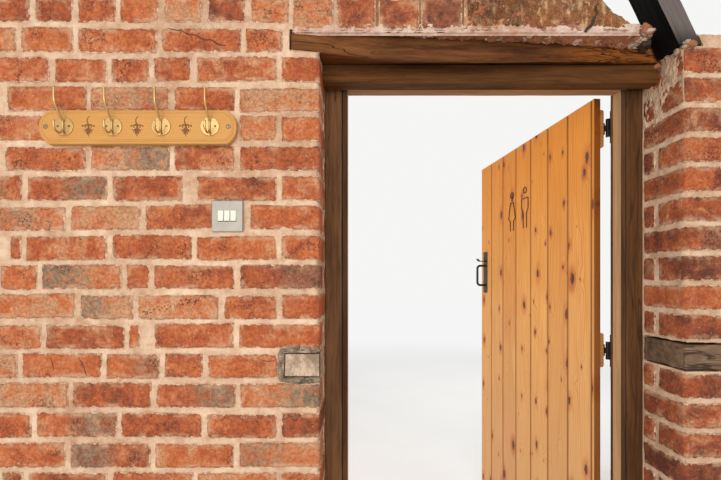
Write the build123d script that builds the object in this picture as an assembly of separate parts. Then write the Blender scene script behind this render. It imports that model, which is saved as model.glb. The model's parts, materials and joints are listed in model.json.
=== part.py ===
"""Bay of old brick wall with a timber-framed doorway and a ledged boarded door.

Millimetres, +Z up, +X right, +Y away from the room that the coat rack is in.
Pieces are drawn with Y measured from the wall's front face, and with the door closed.
Then the door is swung open about its hinge pins, and everything is moved so that the
origin lies under the middle of the threshold.
"""

import math
import os

from build123d import *

# Brickwork
WALL_THICK = 236.0
OPENING_WIDTH = 1022.0
COURSE_HEIGHT = 83.3
LEFT_WALL_LENGTH = 927.0
PIER_WIDTH = 222.0
WALL_TOP_COURSES = 28
PIER_TOP = 1859.0
RAKE_FOOT_X = 401.0
RAKE_SLOPE = 0.626
FLAUNCHING_RISE = 33.0

# Pad blocks built into the jambs
PAD_LEFT_LENGTH = 100.0
PAD_LEFT_Z = 928.0
PAD_LEFT_HEIGHT = 66.0
PAD_LEFT_DEPTH = 102.0
PAD_RIGHT_LENGTH = 118.0
PAD_RIGHT_Z = 946.0
PAD_RIGHT_HEIGHT = 75.0

# Lintels over the doorway
UPPER_LINTEL_LEFT_END_LENGTH = 83.0
UPPER_LINTEL_RIGHT_END_LENGTH = 49.0
UPPER_LINTEL_HEIGHT_LEFT = 42.0
UPPER_LINTEL_HEIGHT_RIGHT = 60.0
UPPER_LINTEL_SKEW = 96.0
UPPER_LINTEL_LEFT_END_DROP = 11.0
UPPER_LINTEL_WANEY_DROPS = ((0.08, 19.0), (0.28, 33.0), (0.48, 25.0), (0.72, 9.0))
LOWER_LINTEL_END_LENGTH = 45.0
LOWER_LINTEL_RECESS = 100.0
LOWER_LINTEL_DEPTH = 44.0
LOWER_LINTEL_HEIGHT = 58.0

# Door frame
FRAME_RECESS = 166.0
FRAME_DEPTH = 84.0
POST_WIDTH = 54.0
FRAME_HEAD_HEIGHT = 71.0
STOP_WIDTH = 19.0
STOP_DEPTH = 39.0
THRESHOLD_HEIGHT = 20.0

# Raking roof strut
STRUT_WIDTH = 60.0
STRUT_DEPTH = 85.0
STRUT_LEAN = 25.7
STRUT_LENGTH = 480.0
STRUT_OVERHANG = 16.0

# Door leaf
DOOR_OPEN_ANGLE = 82.65
DOOR_HINGE_GAP = 5.0
DOOR_LATCH_GAP = 7.0
DOOR_HEAD_GAP = 6.0
DOOR_FLOOR_GAP = 6.0
DOOR_STOP_GAP = 5.0
BOARD_THICK = 23.0
BOARD_PITCH = 127.5
FIRST_JOINT = 15.5
JOINT_V_DEPTH = 4.0
JOINT_V_HALF_WIDTH = 3.2
LEDGE_THICK = 18.0
LEDGE_HEIGHTS = {"top": 130.0, "middle": 118.0, "bottom": 130.0}
TOP_LEDGE_BELOW_DOOR_TOP = 100.0
MIDDLE_LEDGE_Z = 957.0
BOTTOM_LEDGE_ABOVE_DOOR_BOTTOM = 164.0
LEDGE_HINGE_INSET = 6.0
LEDGE_LATCH_INSET = 30.0
LEDGE_CHAMFER = 5.0

# Tee hinges
PIN_RADIUS = 3.0
KNUCKLE_RADIUS = 6.5
KNUCKLE_LENGTH = 20.0
KNUCKLE_GAP = 0.5
KNUCKLE_CLEAR = 1.0
PIN_CLEAR = 0.08
STRAP_THICK = 4.0
STRAP_LENGTH = 400.0
STRAP_ROOT_WIDTH = 40.0
STRAP_TIP_WIDTH = 22.0
HINGE_PLATE_WIDTH = 42.0
HINGE_PLATE_HEIGHT = 110.0
HINGE_PLATE_THICK = 3.0

# Thumb latch
LATCH_EDGE_INSET = 50.0
LATCH_PLATE_WIDTH = 45.0
LATCH_PLATE_BELOW_GRIP = 42.0
LATCH_PLATE_ABOVE_GRIP = 76.0
LATCH_PLATE_THICK = 3.0
LATCH_PLATE_CORNER = 4.0
GRIP_BOTTOM = 1172.0
GRIP_TOP = 1279.0
GRIP_REACH = 45.0
GRIP_RADIUS = 6.0
GRIP_BEND = 16.0
THUMB_ABOVE_GRIP = 25.0
THUMB_REACH = 46.0
THUMB_WIDTH = 24.0
THUMB_THICK = 4.0
THUMB_TIP_RISE = 12.0
THUMB_TIP_THICK = 3.0
TAIL_WIDTH = 8.0
TAIL_THICK = 6.0
TAIL_PAST_BAR = 8.0
TAIL_ROOT_LENGTH = 4.0
THUMB_ROOT_LENGTH = 2.0
THUMB_SWING = 10.0
THUMB_PIN_RADIUS = 1.2
SLOT_SIDE_CLEAR = 2.0
SLOT_TOP_CLEAR = 3.0
SLOT_BOTTOM_CLEAR = 2.0
BAR_HEIGHT = 20.0
BAR_THICK = 5.0
BAR_TAIL_GAP = 0.3
BAR_BLOCK_GAP = 2.0
BAR_PAST_EDGE = 30.0
BAR_LEVER = 150.0
BAR_PIVOT_RADIUS = 4.0
BAR_PIVOT_HEAD_RADIUS = 8.0
BAR_LIFT_ANGLE = 3.6
BACKING_MARGIN = 26.0
BACKING_HEIGHT = 76.0
STAPLE_WIDTH = 10.0
STAPLE_THICK = 4.0
STAPLE_EDGE_INSET = 22.0
STAPLE_CLEAR = 2.0
KEEP_PLATE_WIDTH = 26.0
KEEP_PLATE_HEIGHT = 80.0
KEEP_PLATE_THICK = 2.0
KEEP_ARM_THICK = 5.0
KEEP_NOTCH_CLEAR = 3.0
KEEP_HORN_RISE = 8.0

# Bent wire figures on the door
FIGURE_WIRE_RADIUS = 1.8
FIGURE_BOTTOM = 1436.0
FIGURE_HEIGHT = 187.0
FIGURE_HEAD_RADIUS = 15.0
FIGURE_NECK_GAP = 21.0
FIGURE_BEND = 4.0
WOMAN_FROM_HINGE = 560.0
WOMAN_SHOULDER_HALF_WIDTH = 14.0
WOMAN_HEM_HALF_WIDTH = 32.0
WOMAN_HEM_HEIGHT = 60.0
WOMAN_LEG_HEIGHT = 47.0
WOMAN_LEG_HALF_WIDTH = 15.0
MAN_FROM_HINGE = 444.0
MAN_SHOULDER_HALF_WIDTH = 27.0
MAN_COAT_HEIGHT = 89.0
MAN_LEG_HEIGHT = 66.0
MAN_LEG_HALF_WIDTH = 13.5

# Coat rack
RACK_CENTRE_X = -1013.5
RACK_BOTTOM = 1576.0
RACK_HEIGHT = 94.0
RACK_BODY_LENGTH = 493.0
RACK_END_LENGTH = 27.0
RACK_THICK = 18.0
RACK_EDGE_ROUND = 4.0
RACK_STEP_WIDTH = 7.0
RACK_STEP_DEPTH = 2.0
HOOK_COUNT = 4
HOOK_END_MARGIN = 45.5
HOOK_ROSE_RADIUS = 26.0
HOOK_ROSE_THICK = 3.0
HOOK_WIRE_RADIUS = 2.8
HOOK_TIP_RADIUS = 3.6
HOOK_TOP_RISE = 89.0
HOOK_TOP_REACH = 37.0
HOOK_TOP_STRAIGHT = 34.0
HOOK_KNEE_RISE = 32.0
HOOK_KNEE_REACH = 22.0
HOOK_SPINE_REACH = 5.0
HOOK_SPINE_HALF_HEIGHT = 12.0
HOOK_CURL_DROP = 25.0
HOOK_CURL_HEEL = 11.0
HOOK_CURL_TOE = 2.0
HOOK_CURL_TOE_RISE = 5.0
HOOK_CURL_REACH = 38.0
HOOK_CURL_TIP_RISE = 2.0
HOOK_BENDS = (40.0, 30.0, 10.0, 12.0, 12.0, 12.0)

# Metal switch plate with three rockers
SWITCH_X = -769.0
SWITCH_Z = 1378.0
SWITCH_SIZE = 86.0
SWITCH_THICK = 7.0
SWITCH_CORNER = 3.0
ROCKER_COUNT = 3
ROCKER_PITCH = 17.6
ROCKER_WIDTH = 14.4
ROCKER_HEIGHT = 29.0
ROCKER_CLEAR_SIDE = 0.4
ROCKER_CLEAR_END = 1.2
ROCKER_SWING = 10.0
ROCKER_PROUD = 3.0
ROCKER_DISH = 1.6
ROCKER_BACK = 3.0
TRUNNION_RADIUS = 1.5
TRUNNION_CLEAR = 0.1
TRUNNION_LENGTH = 1.2
CRADLE_DEPTH = 5.0
CRADLE_WALL = 3.0
BACK_BOX_SIZE = 70.0
BACK_BOX_DEPTH = 25.0
BACK_BOX_WALL = 2.0

# Places that follow from the sizes
LEFT_JAMB = -OPENING_WIDTH / 2
RIGHT_JAMB = OPENING_WIDTH / 2
WALL_TOP = COURSE_HEIGHT * WALL_TOP_COURSES
LOWER_LINTEL_TOP = PIER_TOP
UPPER_LINTEL_TOP_LEFT = LOWER_LINTEL_TOP + UPPER_LINTEL_HEIGHT_LEFT
UPPER_LINTEL_TOP_RIGHT = LOWER_LINTEL_TOP + UPPER_LINTEL_HEIGHT_RIGHT
HEAD_UNDERSIDE = UPPER_LINTEL_TOP_LEFT - FRAME_HEAD_HEIGHT
LOWER_LINTEL_BACK = LOWER_LINTEL_RECESS + LOWER_LINTEL_DEPTH
FRAME_BACK = FRAME_RECESS + FRAME_DEPTH
LEFT_REBATE = LEFT_JAMB + POST_WIDTH
RIGHT_REBATE = RIGHT_JAMB - POST_WIDTH
DOOR_FRONT = FRAME_RECESS + STOP_DEPTH + DOOR_STOP_GAP
BOARD_BACK = DOOR_FRONT + BOARD_THICK
LEDGE_BACK = BOARD_BACK + LEDGE_THICK
DOOR_HINGE_EDGE = RIGHT_REBATE - DOOR_HINGE_GAP
DOOR_LATCH_EDGE = LEFT_REBATE + DOOR_LATCH_GAP
DOOR_BOTTOM = THRESHOLD_HEIGHT + DOOR_FLOOR_GAP
DOOR_TOP = HEAD_UNDERSIDE - DOOR_HEAD_GAP
LEDGE_CENTRES = {
    "top": DOOR_TOP - TOP_LEDGE_BELOW_DOOR_TOP,
    "middle": MIDDLE_LEDGE_Z,
    "bottom": DOOR_BOTTOM + BOTTOM_LEDGE_ABOVE_DOOR_BOTTOM,
}
PIN_X = RIGHT_REBATE - DOOR_HINGE_GAP / 2
PIN_Y = max(FRAME_BACK, LEDGE_BACK) + KNUCKLE_RADIUS + KNUCKLE_CLEAR
LATCH_X = DOOR_LATCH_EDGE + LATCH_EDGE_INSET
PLATE_FRONT = DOOR_FRONT - LATCH_PLATE_THICK
LATCH_PLATE_BOTTOM = GRIP_BOTTOM - LATCH_PLATE_BELOW_GRIP
LATCH_PLATE_TOP = GRIP_TOP + LATCH_PLATE_ABOVE_GRIP
THUMB_Z = GRIP_TOP + THUMB_ABOVE_GRIP
THUMB_PIN_Y = DOOR_FRONT - LATCH_PLATE_THICK / 2
BAR_FRONT = LEDGE_BACK + BAR_BLOCK_GAP
BAR_BACK = BAR_FRONT + BAR_THICK
BAR_BOTTOM = THUMB_Z + TAIL_THICK / 2 + BAR_TAIL_GAP
BAR_PIVOT_X = LATCH_X + BAR_LEVER
BAR_PIVOT_Z = BAR_BOTTOM + BAR_HEIGHT / 2
BAR_TIP_X = DOOR_LATCH_EDGE - BAR_PAST_EDGE
RACK_TOP = RACK_BOTTOM + RACK_HEIGHT
RACK_MIDDLE_Z = (RACK_BOTTOM + RACK_TOP) / 2
HOOK_PITCH = (RACK_BODY_LENGTH - 2 * HOOK_END_MARGIN) / (HOOK_COUNT - 1)
THRESHOLD_MIDDLE = FRAME_RECESS + FRAME_DEPTH / 2


def block(x_range, y_range, z_range):
    """A plain block between two corners."""
    size = [high - low for low, high in (x_range, y_range, z_range)]
    centre = [(high + low) / 2 for low, high in (x_range, y_range, z_range)]
    return Pos(*centre) * Box(*size)


def upright_prism(points, front, back):
    """A polygon drawn in the wall's plane as (x, z), made solid from front to back."""
    outline = Polyline(*[(x, front, z) for x, z in points], close=True)
    return extrude(make_face(outline), amount=back - front, dir=(0, 1, 0))


def plan_prism(points, bottom, top):
    """A polygon drawn in plan as (x, y), made solid from bottom to top."""
    outline = Polyline(*[(x, y, bottom) for x, y in points], close=True)
    return extrude(make_face(outline), amount=top - bottom, dir=(0, 0, 1))


def side_prism(points, centre_x, width):
    """A polygon drawn from the side as (y, z), made solid across its width."""
    left = centre_x - width / 2
    outline = Polyline(*[(left, y, z) for y, z in points], close=True)
    return extrude(make_face(outline), amount=width, dir=(1, 0, 0))


def rod(start, end, radius):
    """A round bar from one point to another."""
    plane = Plane(origin=start, z_dir=Vector(*end) - Vector(*start))
    return extrude(plane * Circle(radius), amount=(Vector(*end) - Vector(*start)).length)


def bent_rod(points, radius, bends):
    """A round bar along straight runs that are joined by bends."""
    path = FilletPolyline(*points, radius=bends)
    start = Plane(origin=path @ 0, z_dir=path % 0)
    return sweep(start * Circle(radius), path=path)


def swing_open(shape):
    """Turn a piece of the door from closed to where the open door stands."""
    about_pin = Pos(PIN_X, PIN_Y, 0) * Rot(0, 0, -DOOR_OPEN_ANGLE) * Pos(-PIN_X, -PIN_Y, 0)
    return about_pin * shape


def upper_lintel(skew=UPPER_LINTEL_SKEW):
    """Rough timber, skewed in plan, whose front lower edge hangs ahead of the lower lintel."""
    left_end = LEFT_JAMB - UPPER_LINTEL_LEFT_END_LENGTH
    length = OPENING_WIDTH + UPPER_LINTEL_LEFT_END_LENGTH + UPPER_LINTEL_RIGHT_END_LENGTH
    drops = [(0.0, UPPER_LINTEL_LEFT_END_DROP), *UPPER_LINTEL_WANEY_DROPS, (1.0, 0.0)]
    sections = []
    for share, drop in drops:
        x = left_end + share * length
        front = share * skew
        top = UPPER_LINTEL_TOP_LEFT + share * (UPPER_LINTEL_TOP_RIGHT - UPPER_LINTEL_TOP_LEFT)
        corners = [
            (x, front, top),
            (x, LOWER_LINTEL_BACK, top),
            (x, LOWER_LINTEL_BACK, LOWER_LINTEL_TOP),
            (x, LOWER_LINTEL_RECESS, LOWER_LINTEL_TOP),
            (x, front, LOWER_LINTEL_TOP - drop),
        ]
        sections.append(make_face(Polyline(*corners, close=True)))
    return loft(sections, ruled=True)


def lower_lintel():
    return block(
        (LEFT_JAMB - LOWER_LINTEL_END_LENGTH, RIGHT_JAMB + LOWER_LINTEL_END_LENGTH),
        (LOWER_LINTEL_RECESS, LOWER_LINTEL_BACK),
        (LOWER_LINTEL_TOP - LOWER_LINTEL_HEIGHT, LOWER_LINTEL_TOP),
    )


def left_pad_block():
    return block(
        (LEFT_JAMB - PAD_LEFT_LENGTH, LEFT_JAMB),
        (0, PAD_LEFT_DEPTH),
        (PAD_LEFT_Z, PAD_LEFT_Z + PAD_LEFT_HEIGHT),
    )


def right_pad_block():
    return block(
        (RIGHT_JAMB, RIGHT_JAMB + PAD_RIGHT_LENGTH),
        (0, FRAME_RECESS),
        (PAD_RIGHT_Z, PAD_RIGHT_Z + PAD_RIGHT_HEIGHT),
    )


def left_wall():
    """The pocket for the upper lintel is square to the wall, so the skewed end shows in its face."""
    brickwork = block((LEFT_JAMB - LEFT_WALL_LENGTH, LEFT_JAMB), (0, WALL_THICK), (0, WALL_TOP))
    half_box = BACK_BOX_SIZE / 2
    box_hole = block(
        (SWITCH_X - half_box, SWITCH_X + half_box),
        (0, BACK_BOX_DEPTH),
        (SWITCH_Z - half_box, SWITCH_Z + half_box),
    )
    lintel_pocket = upper_lintel() + upper_lintel(skew=0.0)
    return brickwork - lintel_pocket - lower_lintel() - left_pad_block() - box_hole


def strut_half_foot():
    """Half the strut's level foot, which is longer than its width because it leans."""
    return STRUT_WIDTH / 2 / math.cos(math.radians(STRUT_LEAN))


def right_pier():
    """The pier's top is level under the lintels and the strut, with mortar heaped behind the strut."""
    foot_right = RIGHT_JAMB - STRUT_OVERHANG + 2 * strut_half_foot()
    heap_left = foot_right - FLAUNCHING_RISE * math.tan(math.radians(STRUT_LEAN))
    right = RIGHT_JAMB + PIER_WIDTH
    outline = [
        (RIGHT_JAMB, 0),
        (right, 0),
        (right, PIER_TOP + FLAUNCHING_RISE),
        (heap_left, PIER_TOP + FLAUNCHING_RISE),
        (foot_right, PIER_TOP),
        (RIGHT_JAMB, PIER_TOP),
    ]
    brickwork = upright_prism(outline, 0, WALL_THICK)
    return brickwork - upper_lintel() - lower_lintel() - right_pad_block()


def wall_over_door():
    """The brickwork over the doorway ends on the right in a rake that follows the roof."""
    rake_top_x = RAKE_FOOT_X - (WALL_TOP - UPPER_LINTEL_TOP_LEFT) / RAKE_SLOPE
    outline = [
        (LEFT_JAMB, UPPER_LINTEL_TOP_LEFT),
        (RAKE_FOOT_X, UPPER_LINTEL_TOP_LEFT),
        (rake_top_x, WALL_TOP),
        (LEFT_JAMB, WALL_TOP),
    ]
    return upright_prism(outline, 0, WALL_THICK) - upper_lintel()


def raking_strut():
    """A roof timber whose foot is cut level to stand on the pier."""
    half_foot = strut_half_foot()
    foot_centre = RIGHT_JAMB - STRUT_OVERHANG + half_foot
    lean = math.radians(STRUT_LEAN)
    drop = STRUT_WIDTH / 2 * math.tan(lean)
    timber = block(
        (-STRUT_WIDTH / 2, STRUT_WIDTH / 2),
        (0, STRUT_DEPTH),
        (-drop - 1, STRUT_LENGTH),
    )
    timber = Pos(foot_centre, 0, PIER_TOP) * Rot(0, -STRUT_LEAN, 0) * timber
    below = block(
        (foot_centre - 4 * half_foot, foot_centre + 4 * half_foot),
        (-1, STRUT_DEPTH + 1),
        (PIER_TOP - 4 * drop, PIER_TOP),
    )
    return timber - below - upper_lintel()


def frame_post(side):
    """The left post for side -1 and the right post for side 1."""
    inner, outer = side * (OPENING_WIDTH / 2 - POST_WIDTH), side * OPENING_WIDTH / 2
    return block(
        (min(inner, outer), max(inner, outer)), (FRAME_RECESS, FRAME_BACK), (0, HEAD_UNDERSIDE)
    )


def frame_head():
    return block(
        (LEFT_JAMB, RIGHT_JAMB),
        (LOWER_LINTEL_BACK, FRAME_BACK),
        (HEAD_UNDERSIDE, UPPER_LINTEL_TOP_LEFT),
    )


def side_stop(side):
    outer = side * (OPENING_WIDTH / 2 - POST_WIDTH)
    inner = outer - side * STOP_WIDTH
    return block(
        (min(inner, outer), max(inner, outer)),
        (FRAME_RECESS, FRAME_RECESS + STOP_DEPTH),
        (THRESHOLD_HEIGHT, HEAD_UNDERSIDE - STOP_WIDTH),
    )


def head_stop():
    return block(
        (LEFT_REBATE, RIGHT_REBATE),
        (FRAME_RECESS, FRAME_RECESS + STOP_DEPTH),
        (HEAD_UNDERSIDE - STOP_WIDTH, HEAD_UNDERSIDE),
    )


def threshold():
    return block((LEFT_REBATE, RIGHT_REBATE), (FRAME_RECESS, FRAME_BACK), (0, THRESHOLD_HEIGHT))


def thumb_slot():
    """The slot through plate, boards and backing block in which the thumb piece's tail swings."""
    tail_rise = (BAR_FRONT - PLATE_FRONT) * math.sin(math.radians(THUMB_SWING))
    half_width = TAIL_WIDTH / 2 + SLOT_SIDE_CLEAR
    return block(
        (LATCH_X - half_width, LATCH_X + half_width),
        (PLATE_FRONT - 1, BAR_FRONT),
        (
            THUMB_Z - TAIL_THICK / 2 - SLOT_BOTTOM_CLEAR,
            THUMB_Z + TAIL_THICK / 2 + tail_rise + SLOT_TOP_CLEAR,
        ),
    )


def thumb_pin(radius, length):
    """The pin across the plate's slot that the thumb piece turns on."""
    start = (LATCH_X - length / 2, THUMB_PIN_Y, THUMB_Z)
    end = (LATCH_X + length / 2, THUMB_PIN_Y, THUMB_Z)
    return rod(start, end, radius)


def door_boards():
    """Boards with V joints, drawn in plan from the hinge edge and back again."""
    width = DOOR_HINGE_EDGE - DOOR_LATCH_EDGE
    outline = [(DOOR_HINGE_EDGE, BOARD_BACK), (DOOR_HINGE_EDGE, DOOR_FRONT)]
    from_hinge = FIRST_JOINT
    while from_hinge < width - FIRST_JOINT:
        joint_x = DOOR_HINGE_EDGE - from_hinge
        outline.append((joint_x + JOINT_V_HALF_WIDTH, DOOR_FRONT))
        outline.append((joint_x, DOOR_FRONT + JOINT_V_DEPTH))
        outline.append((joint_x - JOINT_V_HALF_WIDTH, DOOR_FRONT))
        from_hinge += BOARD_PITCH
    outline += [(DOOR_LATCH_EDGE, DOOR_FRONT), (DOOR_LATCH_EDGE, BOARD_BACK)]
    return plan_prism(outline, DOOR_BOTTOM, DOOR_TOP) - thumb_slot()


def ledge(place):
    """A chamfered cross rail behind the boards."""
    half = LEDGE_HEIGHTS[place] / 2
    centre = LEDGE_CENTRES[place]
    rail = block(
        (DOOR_LATCH_EDGE + LEDGE_LATCH_INSET, DOOR_HINGE_EDGE - LEDGE_HINGE_INSET),
        (BOARD_BACK, LEDGE_BACK),
        (centre - half, centre + half),
    )
    back_edges = rail.faces().sort_by(Axis.Y)[-1].edges().filter_by(Axis.X)
    return chamfer(back_edges, LEDGE_CHAMFER)


def hinge_strap(place):
    """The long tapered arm on a ledge, with the middle knuckle of its hinge."""
    centre = LEDGE_CENTRES[place]
    root = PIN_X
    shoulder = DOOR_HINGE_EDGE - LEDGE_HINGE_INSET
    tip = root - STRAP_LENGTH
    half_root, half_tip = STRAP_ROOT_WIDTH / 2, STRAP_TIP_WIDTH / 2
    half_knuckle = KNUCKLE_LENGTH / 2
    outline = [
        (root, centre - half_knuckle),
        (shoulder, centre - half_knuckle),
        (shoulder, centre - half_root),
        (tip, centre - half_tip),
        (tip - half_tip, centre),
        (tip, centre + half_tip),
        (shoulder, centre + half_root),
        (shoulder, centre + half_knuckle),
        (root, centre + half_knuckle),
    ]
    arm = upright_prism(outline, LEDGE_BACK, LEDGE_BACK + STRAP_THICK)
    low = (PIN_X, PIN_Y, centre - half_knuckle)
    high = (PIN_X, PIN_Y, centre + half_knuckle)
    knuckle = rod(low, high, KNUCKLE_RADIUS)
    return arm + knuckle - rod(low, high, PIN_RADIUS + PIN_CLEAR)


def hinge_plate(place):
    """The fixed plate on the post's back, with the two outer knuckles and the pin."""
    centre = LEDGE_CENTRES[place]
    half = HINGE_PLATE_HEIGHT / 2
    left = RIGHT_REBATE + KNUCKLE_CLEAR
    plate = block(
        (left, left + HINGE_PLATE_WIDTH),
        (FRAME_BACK, FRAME_BACK + HINGE_PLATE_THICK),
        (centre - half, centre + half),
    )
    inner = KNUCKLE_LENGTH / 2 + KNUCKLE_GAP
    outer = inner + KNUCKLE_LENGTH
    plate += rod((PIN_X, PIN_Y, centre - outer), (PIN_X, PIN_Y, centre + outer), PIN_RADIUS)
    for side in (-1, 1):
        low, high = sorted((centre + side * inner, centre + side * outer))
        plate += rod((PIN_X, PIN_Y, low), (PIN_X, PIN_Y, high), KNUCKLE_RADIUS)
        plate += block((PIN_X, left + 1), (FRAME_BACK + KNUCKLE_CLEAR, PIN_Y), (low, high))
    return plate


def latch_handle():
    """A tall plate with a D grip and the pin that the thumb piece turns on."""
    half = LATCH_PLATE_WIDTH / 2
    body = block(
        (LATCH_X - half, LATCH_X + half),
        (PLATE_FRONT, DOOR_FRONT),
        (LATCH_PLATE_BOTTOM, LATCH_PLATE_TOP),
    )
    body = fillet(body.edges().filter_by(Axis.Y), LATCH_PLATE_CORNER)
    reach = PLATE_FRONT - GRIP_REACH
    path = [
        (LATCH_X, DOOR_FRONT, GRIP_BOTTOM),
        (LATCH_X, reach, GRIP_BOTTOM),
        (LATCH_X, reach, GRIP_TOP),
        (LATCH_X, DOOR_FRONT, GRIP_TOP),
    ]
    slot_width = TAIL_WIDTH + 2 * SLOT_SIDE_CLEAR
    pin = thumb_pin(THUMB_PIN_RADIUS, slot_width + 2 * THUMB_PIN_RADIUS)
    return body + bent_rod(path, GRIP_RADIUS, GRIP_BEND) - thumb_slot() + pin


def thumb_piece():
    """A pad that the thumb presses, on a tail that runs through the door under the bar."""
    half_thick = THUMB_THICK / 2
    reach = PLATE_FRONT - THUMB_REACH
    pad = [
        (PLATE_FRONT - THUMB_ROOT_LENGTH, THUMB_Z - half_thick),
        (PLATE_FRONT - THUMB_ROOT_LENGTH, THUMB_Z + half_thick),
        (reach + THUMB_TIP_RISE, THUMB_Z + half_thick),
        (reach, THUMB_Z + half_thick + THUMB_TIP_RISE),
        (reach - THUMB_TIP_THICK, THUMB_Z + half_thick + THUMB_TIP_RISE - THUMB_TIP_THICK / 2),
        (reach + THUMB_TIP_RISE - THUMB_THICK / 2, THUMB_Z - half_thick),
    ]
    tail = block(
        (LATCH_X - TAIL_WIDTH / 2, LATCH_X + TAIL_WIDTH / 2),
        (PLATE_FRONT - TAIL_ROOT_LENGTH, BAR_BACK + TAIL_PAST_BAR),
        (THUMB_Z - TAIL_THICK / 2, THUMB_Z + TAIL_THICK / 2),
    )
    pin_hole = thumb_pin(THUMB_PIN_RADIUS + PIN_CLEAR, THUMB_WIDTH)
    return side_prism(pad, LATCH_X, THUMB_WIDTH) + tail - pin_hole


def latch_bar():
    """The flat bar that drops behind the keep's horn."""
    bar = block(
        (BAR_TIP_X, BAR_PIVOT_X + BAR_HEIGHT / 2),
        (BAR_FRONT, BAR_BACK),
        (BAR_BOTTOM, BAR_BOTTOM + BAR_HEIGHT),
    )
    hole = rod(
        (BAR_PIVOT_X, BAR_FRONT - 1, BAR_PIVOT_Z),
        (BAR_PIVOT_X, BAR_BACK + 1, BAR_PIVOT_Z),
        BAR_PIVOT_RADIUS + PIN_CLEAR,
    )
    return bar - hole


def latch_pivot():
    """The pin that the bar turns on, with its collar and head."""
    stem_end = BAR_BACK + BAR_BLOCK_GAP
    collar = rod(
        (BAR_PIVOT_X, LEDGE_BACK, BAR_PIVOT_Z),
        (BAR_PIVOT_X, BAR_FRONT - KNUCKLE_GAP, BAR_PIVOT_Z),
        BAR_PIVOT_HEAD_RADIUS,
    )
    stem = rod(
        (BAR_PIVOT_X, LEDGE_BACK, BAR_PIVOT_Z),
        (BAR_PIVOT_X, stem_end, BAR_PIVOT_Z),
        BAR_PIVOT_RADIUS,
    )
    head = rod(
        (BAR_PIVOT_X, BAR_BACK + KNUCKLE_GAP, BAR_PIVOT_Z),
        (BAR_PIVOT_X, stem_end + 1, BAR_PIVOT_Z),
        BAR_PIVOT_HEAD_RADIUS,
    )
    return collar + stem + head


def backing_block():
    """A timber pad behind the boards that brings the latch bar level with the frame's back."""
    centre = BAR_PIVOT_Z
    pad = block(
        (DOOR_LATCH_EDGE + DOOR_STOP_GAP, BAR_PIVOT_X + BACKING_MARGIN),
        (BOARD_BACK, LEDGE_BACK),
        (centre - BACKING_HEIGHT / 2, centre + BACKING_HEIGHT / 2),
    )
    return pad - thumb_slot()


def latch_staple():
    """The guide over the bar beside the door's free edge."""
    x = DOOR_LATCH_EDGE + STAPLE_EDGE_INSET
    lift = (BAR_PIVOT_X - x) * math.sin(math.radians(BAR_LIFT_ANGLE))
    inner_low = BAR_BOTTOM - STAPLE_CLEAR
    inner_high = BAR_BOTTOM + BAR_HEIGHT + lift + STAPLE_CLEAR
    inner_back = BAR_BACK + STAPLE_CLEAR
    outer = block(
        (x - STAPLE_WIDTH / 2, x + STAPLE_WIDTH / 2),
        (LEDGE_BACK, inner_back + STAPLE_THICK),
        (inner_low - STAPLE_THICK, inner_high + STAPLE_THICK),
    )
    inner = block(
        (x - STAPLE_WIDTH, x + STAPLE_WIDTH), (LEDGE_BACK - 1, inner_back), (inner_low, inner_high)
    )
    return outer - inner


def latch_keep():
    """The catch on the left post, with a horn that the bar drops behind."""
    right = LEFT_REBATE - DOOR_LATCH_GAP
    x_range = (right - KEEP_PLATE_WIDTH, right)
    arm_top = BAR_BOTTOM - KEEP_NOTCH_CLEAR
    arm_back = BAR_BACK + KEEP_NOTCH_CLEAR
    horn_back = arm_back + KEEP_ARM_THICK
    plate = block(
        x_range,
        (FRAME_BACK, FRAME_BACK + KEEP_PLATE_THICK),
        (BAR_PIVOT_Z - KEEP_PLATE_HEIGHT / 2, BAR_PIVOT_Z + KEEP_PLATE_HEIGHT / 2),
    )
    arm = block(x_range, (FRAME_BACK, horn_back), (arm_top - KEEP_ARM_THICK, arm_top))
    horn = block(x_range, (arm_back, horn_back), (arm_top, arm_top + KEEP_HORN_RISE))
    return plate + arm + horn


def bent_figure(half_outline, from_hinge):
    """A head ring over one bent wire that goes up from a foot, over the shoulders and down."""
    y = DOOR_FRONT - FIGURE_WIRE_RADIUS
    centre_x = DOOR_HINGE_EDGE - from_hinge
    right = [(centre_x + x, y, FIGURE_BOTTOM + rise) for x, rise in half_outline]
    left = [(centre_x - x, y, FIGURE_BOTTOM + rise) for x, rise in reversed(half_outline)]
    body = bent_rod(right + left, FIGURE_WIRE_RADIUS, FIGURE_BEND)
    head_z = FIGURE_BOTTOM + FIGURE_HEIGHT - FIGURE_HEAD_RADIUS
    ring = Torus(FIGURE_HEAD_RADIUS - FIGURE_WIRE_RADIUS, FIGURE_WIRE_RADIUS)
    return body + Pos(centre_x, y, head_z) * Rot(90, 0, 0) * ring


def figure_shoulder():
    """The height of a figure's shoulders above its feet."""
    return FIGURE_HEIGHT - 2 * FIGURE_HEAD_RADIUS - FIGURE_NECK_GAP


def sign_woman():
    """Narrow shoulders, a dress that flares to its hem, and legs under it."""
    half = [
        (WOMAN_LEG_HALF_WIDTH, 0),
        (WOMAN_LEG_HALF_WIDTH, WOMAN_LEG_HEIGHT),
        (WOMAN_HEM_HALF_WIDTH, WOMAN_HEM_HEIGHT),
        (WOMAN_SHOULDER_HALF_WIDTH, figure_shoulder()),
    ]
    return bent_figure(half, WOMAN_FROM_HINGE)


def sign_man():
    """Square shoulders, a straight coat and legs under it."""
    half = [
        (MAN_LEG_HALF_WIDTH, 0),
        (MAN_LEG_HALF_WIDTH, MAN_LEG_HEIGHT),
        (MAN_SHOULDER_HALF_WIDTH, MAN_COAT_HEIGHT),
        (MAN_SHOULDER_HALF_WIDTH, figure_shoulder()),
    ]
    return bent_figure(half, MAN_FROM_HINGE)


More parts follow.
